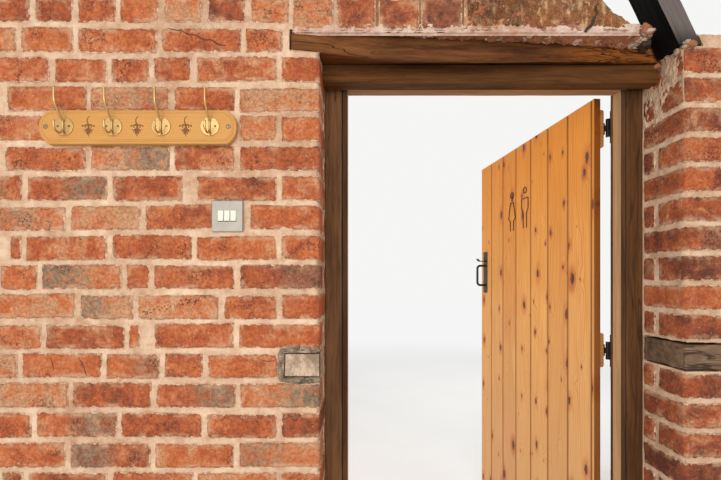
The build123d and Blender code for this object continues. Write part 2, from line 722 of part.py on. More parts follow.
def coat_rack_board():
    """A board with bowed ends, its rounded edge stepped down from a raised face."""
    half = RACK_BODY_LENGTH / 2
    low, high = -RACK_HEIGHT / 2, RACK_HEIGHT / 2
    outline = Line((-half, low), (half, low))
    outline += ThreePointArc((half, low), (half + RACK_END_LENGTH, 0), (half, high))
    outline += Line((half, high), (-half, high))
    outline += ThreePointArc((-half, high), (-half - RACK_END_LENGTH, 0), (-half, low))
    wall_face = Plane(origin=(RACK_CENTRE_X, 0, RACK_MIDDLE_Z), x_dir=(1, 0, 0), z_dir=(0, -1, 0))
    shape = make_face(outline)
    board = extrude(wall_face * shape, amount=RACK_THICK - RACK_STEP_DEPTH)
    board = fillet(board.faces().sort_by(Axis.Y)[0].edges(), RACK_EDGE_ROUND)
    raised = offset(shape, amount=-RACK_STEP_WIDTH)
    return board + extrude(wall_face * raised, amount=RACK_THICK)


def coat_hook(index):
    """A round rose whose one bent bar is a tall prong above and a short curl below."""
    x = RACK_CENTRE_X + (index - (HOOK_COUNT - 1) / 2) * HOOK_PITCH
    face = -RACK_THICK
    rose = rod((x, face, RACK_MIDDLE_Z), (x, face - HOOK_ROSE_THICK, RACK_MIDDLE_Z), HOOK_ROSE_RADIUS)
    rose = fillet(rose.faces().sort_by(Axis.Y)[0].edges(), HOOK_ROSE_THICK / 2)
    side = [
        (HOOK_TOP_REACH, HOOK_TOP_RISE),
        (HOOK_TOP_REACH, HOOK_TOP_RISE - HOOK_TOP_STRAIGHT),
        (HOOK_KNEE_REACH, HOOK_KNEE_RISE),
        (HOOK_SPINE_REACH, HOOK_SPINE_HALF_HEIGHT),
        (HOOK_SPINE_REACH, -HOOK_SPINE_HALF_HEIGHT),
        (HOOK_SPINE_REACH + HOOK_CURL_HEEL, -HOOK_CURL_DROP),
        (HOOK_CURL_REACH - HOOK_CURL_TOE, HOOK_CURL_TOE_RISE - HOOK_CURL_DROP),
        (HOOK_CURL_REACH, HOOK_CURL_TIP_RISE),
    ]
    path = [(x, face - reach, RACK_MIDDLE_Z + rise) for reach, rise in side]
    hook = rose + bent_rod(path, HOOK_WIRE_RADIUS, HOOK_BENDS)
    for tip in (path[0], path[-1]):
        hook += Pos(*tip) * Sphere(HOOK_TIP_RADIUS)
    return hook


def rocker_centre(index):
    return SWITCH_X + (index - (ROCKER_COUNT - 1) / 2) * ROCKER_PITCH


def switch_plate():
    """A square metal plate with a cradle behind it in which the rockers' trunnions turn."""
    half = SWITCH_SIZE / 2
    plate = block(
        (SWITCH_X - half, SWITCH_X + half),
        (-SWITCH_THICK, 0),
        (SWITCH_Z - half, SWITCH_Z + half),
    )
    plate = fillet(plate.edges().filter_by(Axis.Y), SWITCH_CORNER)
    front = plate.faces().sort_by(Axis.Y)[0]
    plate = chamfer(front.edges(), SWITCH_CORNER / 2)
    half_window_height = ROCKER_HEIGHT / 2 + ROCKER_CLEAR_END
    half_window_width = ROCKER_WIDTH / 2 + ROCKER_CLEAR_SIDE
    cradle_half_width = (ROCKER_COUNT - 1) / 2 * ROCKER_PITCH + half_window_width + CRADLE_WALL
    plate += block(
        (SWITCH_X - cradle_half_width, SWITCH_X + cradle_half_width),
        (-SWITCH_THICK / 2, CRADLE_DEPTH),
        (SWITCH_Z - half_window_height - CRADLE_WALL, SWITCH_Z + half_window_height + CRADLE_WALL),
    )
    for index in range(ROCKER_COUNT):
        x = rocker_centre(index)
        plate -= block(
            (x - half_window_width, x + half_window_width),
            (-SWITCH_THICK - 1, CRADLE_DEPTH + 1),
            (SWITCH_Z - half_window_height, SWITCH_Z + half_window_height),
        )
        reach = ROCKER_WIDTH / 2 + TRUNNION_LENGTH + TRUNNION_CLEAR
        socket = rod((x - reach, 0, SWITCH_Z), (x + reach, 0, SWITCH_Z), TRUNNION_RADIUS + TRUNNION_CLEAR)
        plate -= socket
    return plate


def switch_rocker(index):
    """A dished rocker with a trunnion on each side, at rest with its top pressed in."""
    x = rocker_centre(index)
    half = ROCKER_HEIGHT / 2
    face = -SWITCH_THICK - ROCKER_PROUD
    profile = [
        (ROCKER_BACK, SWITCH_Z - half * 0.7),
        (0, SWITCH_Z - half),
        (face, SWITCH_Z - half),
        (face + ROCKER_DISH, SWITCH_Z),
        (face, SWITCH_Z + half),
        (0, SWITCH_Z + half),
        (ROCKER_BACK, SWITCH_Z + half * 0.7),
    ]
    reach = ROCKER_WIDTH / 2 + TRUNNION_LENGTH
    rocker = side_prism(profile, x, ROCKER_WIDTH)
    rocker += rod((x - reach, 0, SWITCH_Z), (x + reach, 0, SWITCH_Z), TRUNNION_RADIUS)
    return Pos(0, 0, SWITCH_Z) * Rot(-ROCKER_SWING / 2, 0, 0) * Pos(0, 0, -SWITCH_Z) * rocker


def switch_back_box():
    """The open metal box let into the brickwork behind the switch plate."""
    half = BACK_BOX_SIZE / 2
    inside = half - BACK_BOX_WALL
    outer = block(
        (SWITCH_X - half, SWITCH_X + half), (0, BACK_BOX_DEPTH), (SWITCH_Z - half, SWITCH_Z + half)
    )
    inner = block(
        (SWITCH_X - inside, SWITCH_X + inside),
        (-1, BACK_BOX_DEPTH - BACK_BOX_WALL),
        (SWITCH_Z - inside, SWITCH_Z + inside),
    )
    return outer - inner


def fixed_pieces():
    pieces = {
        "wall_left": left_wall(),
        "wall_right": right_pier(),
        "wall_over_door": wall_over_door(),
        "pad_block_left": left_pad_block(),
        "pad_block_right": right_pad_block(),
        "lintel_upper": upper_lintel(),
        "lintel_lower": lower_lintel(),
        "frame_post_left": frame_post(-1),
        "frame_post_right": frame_post(1),
        "frame_head": frame_head(),
        "stop_left": side_stop(-1),
        "stop_right": side_stop(1),
        "stop_head": head_stop(),
        "door_threshold": threshold(),
        "raking_strut": raking_strut(),
        "latch_keep": latch_keep(),
        "coat_rack_board": coat_rack_board(),
        "switch_plate": switch_plate(),
        "switch_back_box": switch_back_box(),
    }
    for place in LEDGE_CENTRES:
        pieces[f"hinge_plate_{place}"] = hinge_plate(place)
    for index in range(HOOK_COUNT):
        pieces[f"coat_hook_{index + 1}"] = coat_hook(index)
    for index in range(ROCKER_COUNT):
        pieces[f"switch_rocker_{index + 1}"] = switch_rocker(index)
    return pieces


def door_pieces():
    pieces = {
        "door_boards": door_boards(),
        "latch_handle": latch_handle(),
        "latch_backing_block": backing_block(),
        "latch_staple": latch_staple(),
        "latch_pivot": latch_pivot(),
        "latch_bar": latch_bar(),
        "thumb_piece": thumb_piece(),
        "sign_woman": sign_woman(),
        "sign_man": sign_man(),
    }
    for place in LEDGE_CENTRES:
        pieces[f"ledge_{place}"] = ledge(place)
        pieces[f"hinge_strap_{place}"] = hinge_strap(place)
    return {name: swing_open(shape) for name, shape in pieces.items()}


def main():
    os.makedirs("parts", exist_ok=True)
    to_origin = Pos(0, -THRESHOLD_MIDDLE, 0)
    for name, shape in {**fixed_pieces(), **door_pieces()}.items():
        export_step(to_origin * shape, f"parts/{name}.step")


main()
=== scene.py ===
"""Looks of an old brick wall bay: worn bricks, dark timber, a boarded pine door and its iron.

Metres throughout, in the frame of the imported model: +Z up, +X right, +Y away through the
doorway. Bricks, mortar and weathered timber are made round the plain solids they stand for.
"""

import json
import math
import random

import bmesh
import bpy
from mathutils import Matrix, Vector, noise


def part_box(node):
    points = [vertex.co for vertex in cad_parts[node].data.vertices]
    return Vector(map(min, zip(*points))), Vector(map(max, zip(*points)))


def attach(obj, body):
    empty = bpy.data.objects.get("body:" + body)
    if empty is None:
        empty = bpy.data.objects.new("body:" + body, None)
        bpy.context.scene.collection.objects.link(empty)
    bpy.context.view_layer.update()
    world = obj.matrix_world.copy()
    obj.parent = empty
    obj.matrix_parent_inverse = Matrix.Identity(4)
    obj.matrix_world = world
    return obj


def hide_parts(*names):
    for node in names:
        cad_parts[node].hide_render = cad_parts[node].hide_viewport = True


bl_info = {
    "name": "Old Doorway Bay",
    "version": (1, 0, 0),
    "blender": (4, 5, 0),
    "location": "3D View > Sidebar > Doorway",
    "description": "Dresses a brick wall bay with a timber-framed doorway and a boarded door",
    "category": "Object",
}

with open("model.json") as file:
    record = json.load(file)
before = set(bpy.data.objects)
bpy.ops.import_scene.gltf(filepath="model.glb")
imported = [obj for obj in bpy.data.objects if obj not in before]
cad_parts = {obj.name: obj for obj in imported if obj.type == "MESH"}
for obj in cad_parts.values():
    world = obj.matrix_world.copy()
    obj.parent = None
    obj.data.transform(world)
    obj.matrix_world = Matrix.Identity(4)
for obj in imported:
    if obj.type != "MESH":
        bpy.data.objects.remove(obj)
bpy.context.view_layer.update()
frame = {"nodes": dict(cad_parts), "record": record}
NODES = frame["nodes"]
JOINTS = {joint["name"]: joint for joint in frame["record"]["behaviour"]["joints"]}

# Places read from the frame
WALL_LOW, WALL_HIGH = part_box("wall_left")
WALL_FRONT = WALL_LOW.y
WALL_BACK = WALL_HIGH.y
LEFT_JAMB = WALL_HIGH.x
PIER_LOW, PIER_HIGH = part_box("wall_right")
UPPER_LOW, UPPER_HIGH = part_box("wall_over_door")
PAD_LEFT_LOW, PAD_LEFT_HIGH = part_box("pad_block_left")
PAD_RIGHT_LOW, PAD_RIGHT_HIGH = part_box("pad_block_right")
LINTEL_LOW, LINTEL_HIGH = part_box("lintel_upper")
SWITCH_LOW, SWITCH_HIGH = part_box("switch_plate")
SWITCH_BOX_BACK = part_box("switch_back_box")[1].y
RAKE_FOOT = UPPER_HIGH.x - 0.01
UPPER_CORNERS = [vertex.co for vertex in NODES["wall_over_door"].data.vertices]
RAKE_HEAD = max(corner.x for corner in UPPER_CORNERS if corner.z > UPPER_HIGH.z - 1e-4)
RACK_LOW, RACK_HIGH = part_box("coat_rack_board")
POST_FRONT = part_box("frame_post_right")[0].y
STOP_LOW, STOP_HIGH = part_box("stop_right")
STOP_HEAD_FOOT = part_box("stop_head")[0].z
STRUT_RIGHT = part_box("raking_strut")[1].x + 0.005
PIER_SHELF = PIER_HIGH.z - 0.033
PIN = Vector(JOINTS["door_swing"]["pos_m"])
OPEN_ANGLE = math.radians(JOINTS["door_swing"]["range_deg"][1])
TO_OPEN = Matrix.Translation(PIN) @ Matrix.Rotation(-OPEN_ANGLE, 4, "Z") @ Matrix.Translation(-PIN)
TO_CLOSED = TO_OPEN.inverted()

# Bricks stand back from a solid's face, mortar further, and at a jamb's arris further still
BRICK_INSET = 0.001
MORTAR_INSET = 0.0026
ARRIS_DEPTH = 0.007
# Cracks and skins lie at the level of the bricks' faces, and screw heads sink in a little
FACE_LEVEL = WALL_FRONT + 0.0014
SEATED = 0.0002
# A point this near a plane touches it, and points this near each other are one
TOUCHING = 0.001
SAME_POINT = 1e-5

# The turn of a grain pattern for level and for upright timber, and how far the strut leans
LEVEL = (0, 0, 0)
UPRIGHT = (0, math.radians(90), 0)
STRUT_LEAN = math.radians(25.7)
# Faces that differ less are flat, and edges that turn further are cut off, eased or kept sharp
FLAT_ANGLE = math.radians(1)
EDGE_ANGLE = math.radians(35)
EASED_ANGLE = math.radians(30)
SHARP_ANGLE = math.radians(48)

# Lengths of whole and cut bricks, named by one letter as in the bonds below.
# A small letter is a brick with a grey burnt end, and a full stop is a wide patch of mortar.
BRICK_LENGTHS = {"S": 0.226, "L": 0.197, "T": 0.173, "C": 0.149, "H": 0.108, "Q": 0.064, "P": 0.034}
WIDE_MORTAR = 0.026

# The left wall's courses from the floor up, each laid from the doorway to the left
LEFT_BOND = (
    "SSSS", "HSSSQ", "STSS", "HHSSS", "SSQSH", "HCSCS", "SLSS", "HSSSQ",
    "SSsS", "HLSsH", "ssSS", "LHCSH", "SS.PSS", "HCScS", "SSQsH", "HSSSP",
    "LQLLL", "HS.LsH", "STsS", "HHSSS", "STSS", "HSHHCS", "HSSCH",
)
# The courses above the lintel, each laid from the wall's left end to the rake
UPPER_BOND = (
    "HHHHHHHHHHHHHHHHHH", "SSLSSSSSSS", "HSSSSTSSSS", "SSSSCSSSS", "HHSSSSSSS",
)
PIER_BOND = ("S", "HH")
BACK_BOND = ("SSSSSSS", "HSSSSSSS")


def brick_colours():
    """The colours of the bricks from the darkest to the palest."""
    return (
        (0.00, (0.125, 0.036, 0.020, 1)),
        (0.20, (0.235, 0.062, 0.027, 1)),
        (0.42, (0.360, 0.086, 0.030, 1)),
        (0.66, (0.455, 0.126, 0.042, 1)),
        (0.86, (0.480, 0.180, 0.078, 1)),
        (1.00, (0.450, 0.228, 0.115, 1)),
    )


class BrickworkSettings(bpy.types.PropertyGroup):
    """Sizes and colours of the brickwork."""

    course: bpy.props.FloatProperty(
        name="Course height", description="From one bed joint to the next",
        default=0.0833, unit="LENGTH",
    )
    pier_lift: bpy.props.FloatProperty(
        name="Pier lift", description="How far the pier's courses sit above the wall's",
        default=0.026, unit="LENGTH",
    )
    joint: bpy.props.FloatProperty(
        name="Joint", description="Width of the mortar between bricks",
        default=0.0115, unit="LENGTH",
    )
    leaf: bpy.props.FloatProperty(
        name="Leaf", description="Depth of a brick that lies along the wall",
        default=0.104, unit="LENGTH",
    )
    wear: bpy.props.FloatProperty(
        name="Wear", description="How far a brick's edges are worn round",
        default=0.0048, unit="LENGTH",
    )
    mortar: bpy.props.FloatVectorProperty(
        name="Mortar", description="Colour of clean lime mortar",
        default=(0.76, 0.545, 0.375), subtype="COLOR",
    )
    mortar_dirt: bpy.props.FloatVectorProperty(
        name="Mortar dirt", description="Colour of stained mortar",
        default=(0.44, 0.245, 0.135), subtype="COLOR",
    )
    burnt: bpy.props.FloatVectorProperty(
        name="Burnt ends", description="Colour of a brick's overburnt end",
        default=(0.205, 0.145, 0.095), subtype="COLOR",
    )


class TimberSettings(bpy.types.PropertyGroup):
    """Colours of the dark timber and the pine."""

    oak_dark: bpy.props.FloatVectorProperty(
        name="Oak, dark", description="Deep grain of the stained oak",
        default=(0.040, 0.0160, 0.0055), subtype="COLOR",
    )
    oak_light: bpy.props.FloatVectorProperty(
        name="Oak, light", description="Raised grain of the stained oak",
        default=(0.148, 0.061, 0.020), subtype="COLOR",
    )
    lintel_dark: bpy.props.FloatVectorProperty(
        name="Lintel, dark", description="Deep grain of the rough lintel",
        default=(0.055, 0.018, 0.005), subtype="COLOR",
    )
    lintel_light: bpy.props.FloatVectorProperty(
        name="Lintel, light", description="Raised grain of the rough lintel",
        default=(0.220, 0.077, 0.020), subtype="COLOR",
    )
    pine: bpy.props.FloatVectorProperty(
        name="Pine", description="Varnished pine between the rings",
        default=(0.530, 0.234, 0.076), subtype="COLOR",
    )
    pine_ring: bpy.props.FloatVectorProperty(
        name="Pine rings", description="Dark rings of the varnished pine",
        default=(0.400, 0.132, 0.027), subtype="COLOR",
    )
    knot: bpy.props.FloatVectorProperty(
        name="Knots", description="Heart of a knot",
        default=(0.034, 0.010, 0.004), subtype="COLOR",
    )
    board_pitch: bpy.props.FloatProperty(
        name="Board pitch", description="From one V joint of the door to the next",
        default=0.1275, unit="LENGTH",
    )
    first_joint: bpy.props.FloatProperty(
        name="First joint", description="From the door's hinge edge to its first V joint",
        default=0.0155, unit="LENGTH",
    )


class MetalSettings(bpy.types.PropertyGroup):
    """Colours of the iron, brass and steel."""

    iron: bpy.props.FloatVectorProperty(
        name="Black iron", description="Colour of the latch and hinges",
        default=(0.018, 0.016, 0.015), subtype="COLOR",
    )
    brass: bpy.props.FloatVectorProperty(
        name="Brass", description="Colour of the hooks",
        default=(0.57, 0.355, 0.14), subtype="COLOR",
    )
    steel: bpy.props.FloatVectorProperty(
        name="Steel", description="Colour of the switch plate",
        default=(0.345, 0.312, 0.264), subtype="COLOR",
    )


class StageSettings(bpy.types.PropertyGroup):
    """Camera, floor and light."""

    camera_place: bpy.props.FloatVectorProperty(
        name="Camera place", description="Where the camera stands",
        default=(-0.3976, -1.328, 1.2), subtype="TRANSLATION", unit="LENGTH",
    )
    focal: bpy.props.FloatProperty(
        name="Focal length", description="In millimetres on a 36 mm wide picture", default=19.97
    )
    rise: bpy.props.FloatProperty(
        name="Rise", description="Shift of the picture upwards, as a share of its width",
        default=0.0555,
    )
    ground: bpy.props.FloatVectorProperty(
        name="Ground", description="Colour of the floor",
        default=(0.80, 0.80, 0.79), subtype="COLOR",
    )


class DoorwaySettings(bpy.types.PropertyGroup):
    """All the settings of the doorway bay."""

    brickwork: bpy.props.PointerProperty(type=BrickworkSettings)
    timber: bpy.props.PointerProperty(type=TimberSettings)
    metal: bpy.props.PointerProperty(type=MetalSettings)
    stage: bpy.props.PointerProperty(type=StageSettings)


class Finish:
    """A material under construction, with short calls for the nodes it needs."""

    def __init__(self, name):
        self.material = bpy.data.materials.new(name)
        self.material.use_nodes = True
        self.tree = self.material.node_tree
        self.surface = self.tree.nodes["Principled BSDF"]
        self.position = self.node("TexCoord").outputs["Object"]

    def node(self, kind, **values):
        """A new node of a kind, with its values set."""
        made = self.tree.nodes.new("ShaderNode" + kind)
        for name, value in values.items():
            setattr(made, name, value)
        return made

    def feed(self, socket, value):
        """Join a socket to another node, or set it."""
        if isinstance(value, bpy.types.NodeSocket):
            self.tree.links.new(value, socket)
        elif socket.type == "RGBA" and len(value) == 3:
            socket.default_value = (*value, 1)
        else:
            socket.default_value = value

    def attribute(self, name):
        """What a layer of the mesh holds at a point."""
        return self.node("Attribute", attribute_name=name).outputs["Fac"]

    def maths(self, operation, first, second=0.0, clamp=False):
        """Work out a number from two."""
        made = self.node("Math", operation=operation, use_clamp=clamp)
        self.feed(made.inputs[0], first)
        self.feed(made.inputs[1], second)
        return made.outputs[0]

    def moved(self, vector, scale=(1, 1, 1), turn=LEVEL, place=(0, 0, 0)):
        """Stretch, turn and move a pattern."""
        made = self.node("Mapping")
        self.feed(made.inputs["Vector"], vector)
        made.inputs["Scale"].default_value = scale
        made.inputs["Rotation"].default_value = turn
        made.inputs["Location"].default_value = place
        return made.outputs[0]

    def shifted(self, vector, amount, direction):
        """Slide a pattern along a direction by an amount that another node gives."""
        scaled = self.node("VectorMath", operation="SCALE")
        scaled.inputs[0].default_value = direction
        self.feed(scaled.inputs["Scale"], amount)
        total = self.node("VectorMath", operation="ADD")
        self.feed(total.inputs[0], vector)
        self.feed(total.inputs[1], scaled.outputs[0])
        return total.outputs[0]

    def clouds(self, vector, scale, detail=4.0, roughness=0.55, distortion=0.0):
        """Soft noise between nought and one."""
        made = self.node("TexNoise")
        self.feed(made.inputs["Vector"], vector)
        made.inputs["Scale"].default_value = scale
        made.inputs["Detail"].default_value = detail
        made.inputs["Roughness"].default_value = roughness
        made.inputs["Distortion"].default_value = distortion
        return made.outputs["Fac"]

    def cells(self, vector, scale, randomness=1.0):
        """How far a point is from the nearest of many spots."""
        made = self.node("TexVoronoi")
        self.feed(made.inputs["Vector"], vector)
        made.inputs["Scale"].default_value = scale
        made.inputs["Randomness"].default_value = randomness
        return made.outputs["Distance"]

    def range(self, value, low, high, start=0.0, end=1.0):
        """Smoothly turn low to high into start to end."""
        made = self.node("MapRange", interpolation_type="SMOOTHSTEP")
        self.feed(made.inputs["Value"], value)
        self.feed(made.inputs["From Min"], low)
        self.feed(made.inputs["From Max"], high)
        made.inputs["To Min"].default_value = start
        made.inputs["To Max"].default_value = end
        return made.outputs[0]

    def ramp(self, value, stops):
        """A colour picked from a row of stops."""
        made = self.node("ValToRGB")
        elements = made.color_ramp.elements
        while len(elements) < len(stops):
            elements.new(0.5)
        for element, (place, colour) in zip(elements, stops):
            element.position = place
            element.color = colour
        self.feed(made.inputs[0], value)
        return made.outputs[0]

    def mix(self, share, first, second, blend="MIX"):
        """A share of the second colour over the first."""
        made = self.node("Mix", data_type="RGBA", blend_type=blend)
        self.feed(made.inputs[0], share)
        self.feed(made.inputs[6], first)
        self.feed(made.inputs[7], second)
        return made.outputs[2]

    def bump(self, height, strength, depth, under=None):
        """Fine relief, on top of any that is under it."""
        made = self.node("Bump")
        made.inputs["Strength"].default_value = strength
        made.inputs["Distance"].default_value = depth
        self.feed(made.inputs["Height"], height)
        if under is not None:
            self.feed(made.inputs["Normal"], under)
        return made.outputs[0]

    def done(self, colour, roughness, normal=None):
        """Join the last of the nodes up, and give the material."""
        self.feed(self.surface.inputs["Base Color"], colour)
        self.feed(self.surface.inputs["Roughness"], roughness)
        if normal is not None:
            self.feed(self.surface.inputs["Normal"], normal)
        return self.material


def brick_finish(look):
    """Worn red brick: its own tone, a burnt end, pits, lime specks and mortar on its edges."""
    f = Finish("old_brick")
    f.surface.inputs["Specular IOR Level"].default_value = 0.2
    tone = f.attribute("tone")
    place = f.shifted(f.position, tone, (7.0, 3.0, 5.0))
    broad = f.clouds(place, 9, 3)
    middle = f.clouds(place, 34, 5, 0.62)
    fine = f.clouds(place, 190, 3, 0.6)
    shade = f.maths("ADD", tone, f.range(broad, 0.3, 0.7, -0.16, 0.16))
    shade = f.maths("ADD", shade, f.range(middle, 0.3, 0.7, -0.15, 0.15))
    colour = f.ramp(shade, brick_colours())
    burnt = f.maths("MULTIPLY", f.attribute("flash"), f.range(middle, 0.28, 0.62))
    colour = f.mix(burnt, colour, look.burnt)
    luck = f.node("TexWhiteNoise", noise_dimensions="1D")
    f.feed(luck.inputs["W"], f.maths("MULTIPLY", tone, 91.7))
    stained = f.range(luck.outputs["Value"], 0.35, 1.0, 0.08, 0.80)
    hazy = f.range(luck.outputs["Value"], 0.0, 0.7, 0.75, 0.12)
    scorch = f.maths("MULTIPLY", f.range(f.clouds(place, 24, 7, 0.75, 0.8), 0.54, 0.66), stained)
    colour = f.mix(scorch, colour, (0.150, 0.046, 0.027))
    bloom = f.maths("MULTIPLY", f.range(f.clouds(place, 17, 7, 0.7, 0.4), 0.47, 0.68), hazy)
    colour = f.mix(bloom, colour, (0.56, 0.315, 0.165))
    specks = f.maths("MULTIPLY", f.range(fine, 0.62, 0.70), 0.34)
    colour = f.mix(specks, colour, (0.66, 0.43, 0.27))
    grit = f.range(f.clouds(place, 115, 6, 0.8), 0.32, 0.68)
    gritty = f.mix(grit, (0.66, 0.58, 0.55), (1.28, 1.30, 1.30))
    colour = f.mix(1.0, colour, gritty, blend="MULTIPLY")
    freckles = f.maths("MULTIPLY", f.range(f.clouds(place, 80, 4, 0.7), 0.57, 0.65), stained)
    colour = f.mix(freckles, colour, (0.09, 0.034, 0.022))
    pits = f.range(f.cells(place, 170), 0.10, 0.20, 1.0, 0.0)
    pits = f.maths("MULTIPLY", pits, f.range(middle, 0.42, 0.56))
    colour = f.mix(f.maths("MULTIPLY", pits, 0.75), colour, (0.10, 0.04, 0.025))
    pepper = f.range(f.clouds(place, 11, 3, 0.5), 0.56, 0.66)
    pepper = f.maths("MULTIPLY", pepper, f.range(f.clouds(place, 170, 3, 0.7), 0.50, 0.57))
    colour = f.mix(f.maths("MULTIPLY", pepper, 0.8), colour, (0.075, 0.026, 0.018))
    colour = limed_edges(f, colour, look)
    relief = f.bump(middle, 0.55, 0.0022)
    relief = f.bump(fine, 0.5, 0.0009, relief)
    relief = f.bump(f.maths("SUBTRACT", 1.0, pits), 0.6, 0.0012, relief)
    return f.done(colour, f.range(middle, 0.2, 0.8, 0.78, 0.96), relief)


def limed_edges(f, colour, look):
    """A film of lime that thins out from a brick's edges, a painted shadow line on the brick just
    beyond the smeared mortar, and the smeared mortar itself.
    """
    edge = f.attribute("edge")
    clouded = f.range(f.clouds(f.position, 21, 6, 0.7), 0.46, 0.62)
    film = f.maths("MULTIPLY", f.range(edge, 0.002, 0.020, 0.75, 0.0), clouded)
    colour = f.mix(film, colour, (0.60, 0.37, 0.22))
    ragged = f.range(f.clouds(f.position, 58, 7, 0.78), 0.20, 0.80, -0.0045, 0.0095)
    # Painted shadow: a dark line on the brick just beyond the smeared mortar, where brick meets
    # joint.
    painted_shadow_rim = f.range(edge, f.maths("ADD", ragged, 0.001), f.maths("ADD", ragged, 0.0055), 0.42, 0.0)
    colour = f.mix(painted_shadow_rim, colour, (0.16, 0.055, 0.030))
    inner, outer = f.maths("SUBTRACT", ragged, 0.0015), f.maths("ADD", ragged, 0.0010)
    smear = f.range(edge, inner, outer, 1.0, 0.0)
    grime = f.clouds(f.position, 60, 4)
    lime = f.mix(f.range(grime, 0.3, 0.7), look.mortar_dirt, look.mortar)
    return f.mix(f.maths("MULTIPLY", smear, 0.9), colour, lime)


def mortar_finish(
    name, clean, stained, dust_share=0.5, dirt_share=0.6, pale_share=0.35, beside=None, dripped=None
):
    """Lime mortar with sand grains, grey stains and brick dust. Beside gives the two colours that
    it fades to at the left jamb and on the back of the wall, dripped the colour of its drips."""
    f = Finish(name)
    if beside:
        parts = f.node("SeparateXYZ")
        f.feed(parts.inputs[0], f.position)
        share = f.range(parts.outputs["X"], LEFT_JAMB, LEFT_JAMB + 0.12)
        share = f.maths("MULTIPLY", share, f.range(parts.outputs["Y"], -0.06, 0.02, 1.0, 0.0))
        clean = f.mix(share, beside[0], clean)
        stained = f.mix(share, beside[1], stained)
    if dripped:
        drips = f.clouds(f.moved(f.position, scale=(1, 1, 0.28)), 62, 5, 0.7)
        clean = f.mix(f.range(drips, 0.50, 0.62), clean, dripped)
    f.surface.inputs["Specular IOR Level"].default_value = 0.2
    broad = f.clouds(f.position, 6, 4)
    middle = f.clouds(f.position, 42, 5, 0.6)
    grains = f.clouds(f.position, 420, 2, 0.7)
    shade = f.maths("ADD", f.range(broad, 0.3, 0.7, 0, 0.5), f.range(middle, 0.3, 0.7, 0, 0.5))
    colour = f.mix(shade, stained, clean)
    dust = f.maths("MULTIPLY", f.range(f.clouds(f.position, 26, 5, 0.7), 0.56, 0.70), dust_share)
    colour = f.mix(dust, colour, (0.48, 0.20, 0.10))
    dirt = f.maths("MULTIPLY", f.range(f.clouds(f.position, 75, 5, 0.7), 0.60, 0.72), dirt_share)
    colour = f.mix(dirt, colour, (0.24, 0.14, 0.08))
    pale = f.maths("MULTIPLY", f.range(grains, 0.55, 0.70), pale_share)
    colour = f.mix(pale, colour, (0.86, 0.68, 0.52))
    relief = f.bump(middle, 0.9, 0.004)
    relief = f.bump(f.clouds(f.position, 120, 4, 0.7), 0.6, 0.002, relief)
    relief = f.bump(grains, 0.6, 0.0009, relief)
    return f.done(colour, 0.95, relief)


def grain_finish(name, dark, light, turn, along=0.045, cracks=0.55, worn=None, decay=None):
    """Timber whose grain runs along X once the pattern has been turned. Worn gives the axis and
    place of a face that is rubbed bare and also painted lighter as a lit face, and its colour; a
    painted shadow line runs along the far edge of the part from that face. Decay gives where rot
    starts and ends along X, and its colour."""
    f = Finish(name)
    f.surface.inputs["Specular IOR Level"].default_value = 0.15
    place = f.moved(f.position, turn=turn)
    wander = f.clouds(f.moved(place, scale=(0.8, 5, 5)), 3, 3)
    place = f.shifted(place, wander, (0, 0.02, 0.05))
    lines = f.clouds(f.moved(place, scale=(along, 1, 1)), 60, 6, 0.66, 0.35)
    broad = f.clouds(f.moved(place, scale=(0.3, 1, 1)), 7, 4, 0.6)
    fibres = f.clouds(f.moved(place, scale=(0.03, 1, 1)), 520, 3, 0.6)
    shade = f.range(lines, 0.30, 0.70, 0.0, 0.62)
    shade = f.maths("ADD", shade, f.range(broad, 0.3, 0.72, -0.1, 0.42))
    shade = f.maths("ADD", shade, f.range(fibres, 0.3, 0.7, -0.10, 0.10), clamp=True)
    colour = f.mix(shade, dark, light)
    split = f.clouds(f.moved(place, scale=(0.06, 1, 1)), 26, 3, 0.5, 0.6)
    split = f.range(f.maths("ABSOLUTE", f.maths("SUBTRACT", split, 0.5)), 0.004, 0.020, 1.0, 0.0)
    split = f.maths("MULTIPLY", split, f.range(broad, 0.42, 0.60))
    colour = f.mix(f.maths("MULTIPLY", split, cracks), colour, [0.25 * value for value in dark])
    parts = f.node("SeparateXYZ")
    f.feed(parts.inputs[0], f.position)
    if worn:
        axis, face, bare = worn
        # Rubbed bare and also painted lighter as a lit face: the face that looks into the opening.
        from_face = f.maths("SUBTRACT", f.maths("ABSOLUTE", parts.outputs[axis]), face)
        rubbed = f.mix(f.range(lines, 0.35, 0.7, 0.35, 0.0), bare, light)
        colour = f.mix(f.range(from_face, 0.0006, 0.0022, 1.0, 0.0), colour, rubbed)
        # Painted shadow: a near-black line along the far side of the part, where it meets the post
        # or the head.
        width = STOP_HIGH.x - STOP_LOW.x
        painted_shadow_seam = f.range(from_face, width - 0.0034, width - 0.0014)
        colour = f.mix(painted_shadow_seam, colour, (0.008, 0.0035, 0.0015))
    if decay:
        start, end, crumbled = decay
        reach = f.maths("ADD", parts.outputs["X"], f.range(broad, 0.3, 0.7, -0.12, 0.12))
        rotten = f.range(reach, start, end)
        soft = f.maths("MULTIPLY", rotten, f.range(lines, 0.40, 0.58, 0.1, 1.0))
        colour = f.mix(soft, colour, crumbled)
        shakes = f.clouds(f.moved(f.position, scale=(0.09, 1, 1)), 48, 4, 0.65, 0.5)
        shakes = f.maths("ABSOLUTE", f.maths("SUBTRACT", shakes, 0.5))
        shakes = f.range(shakes, 0.008, 0.030, 1.0, 0.0)
        colour = f.mix(f.maths("MULTIPLY", rotten, shakes), colour, (0.020, 0.008, 0.003))
    relief = f.bump(lines, 0.45, 0.002)
    relief = f.bump(f.maths("SUBTRACT", 1.0, split), 0.7 * cracks, 0.003, relief)
    relief = f.bump(fibres, 0.25, 0.0006, relief)
    return f.done(colour, f.range(lines, 0.2, 0.8, 0.82, 0.60), relief)


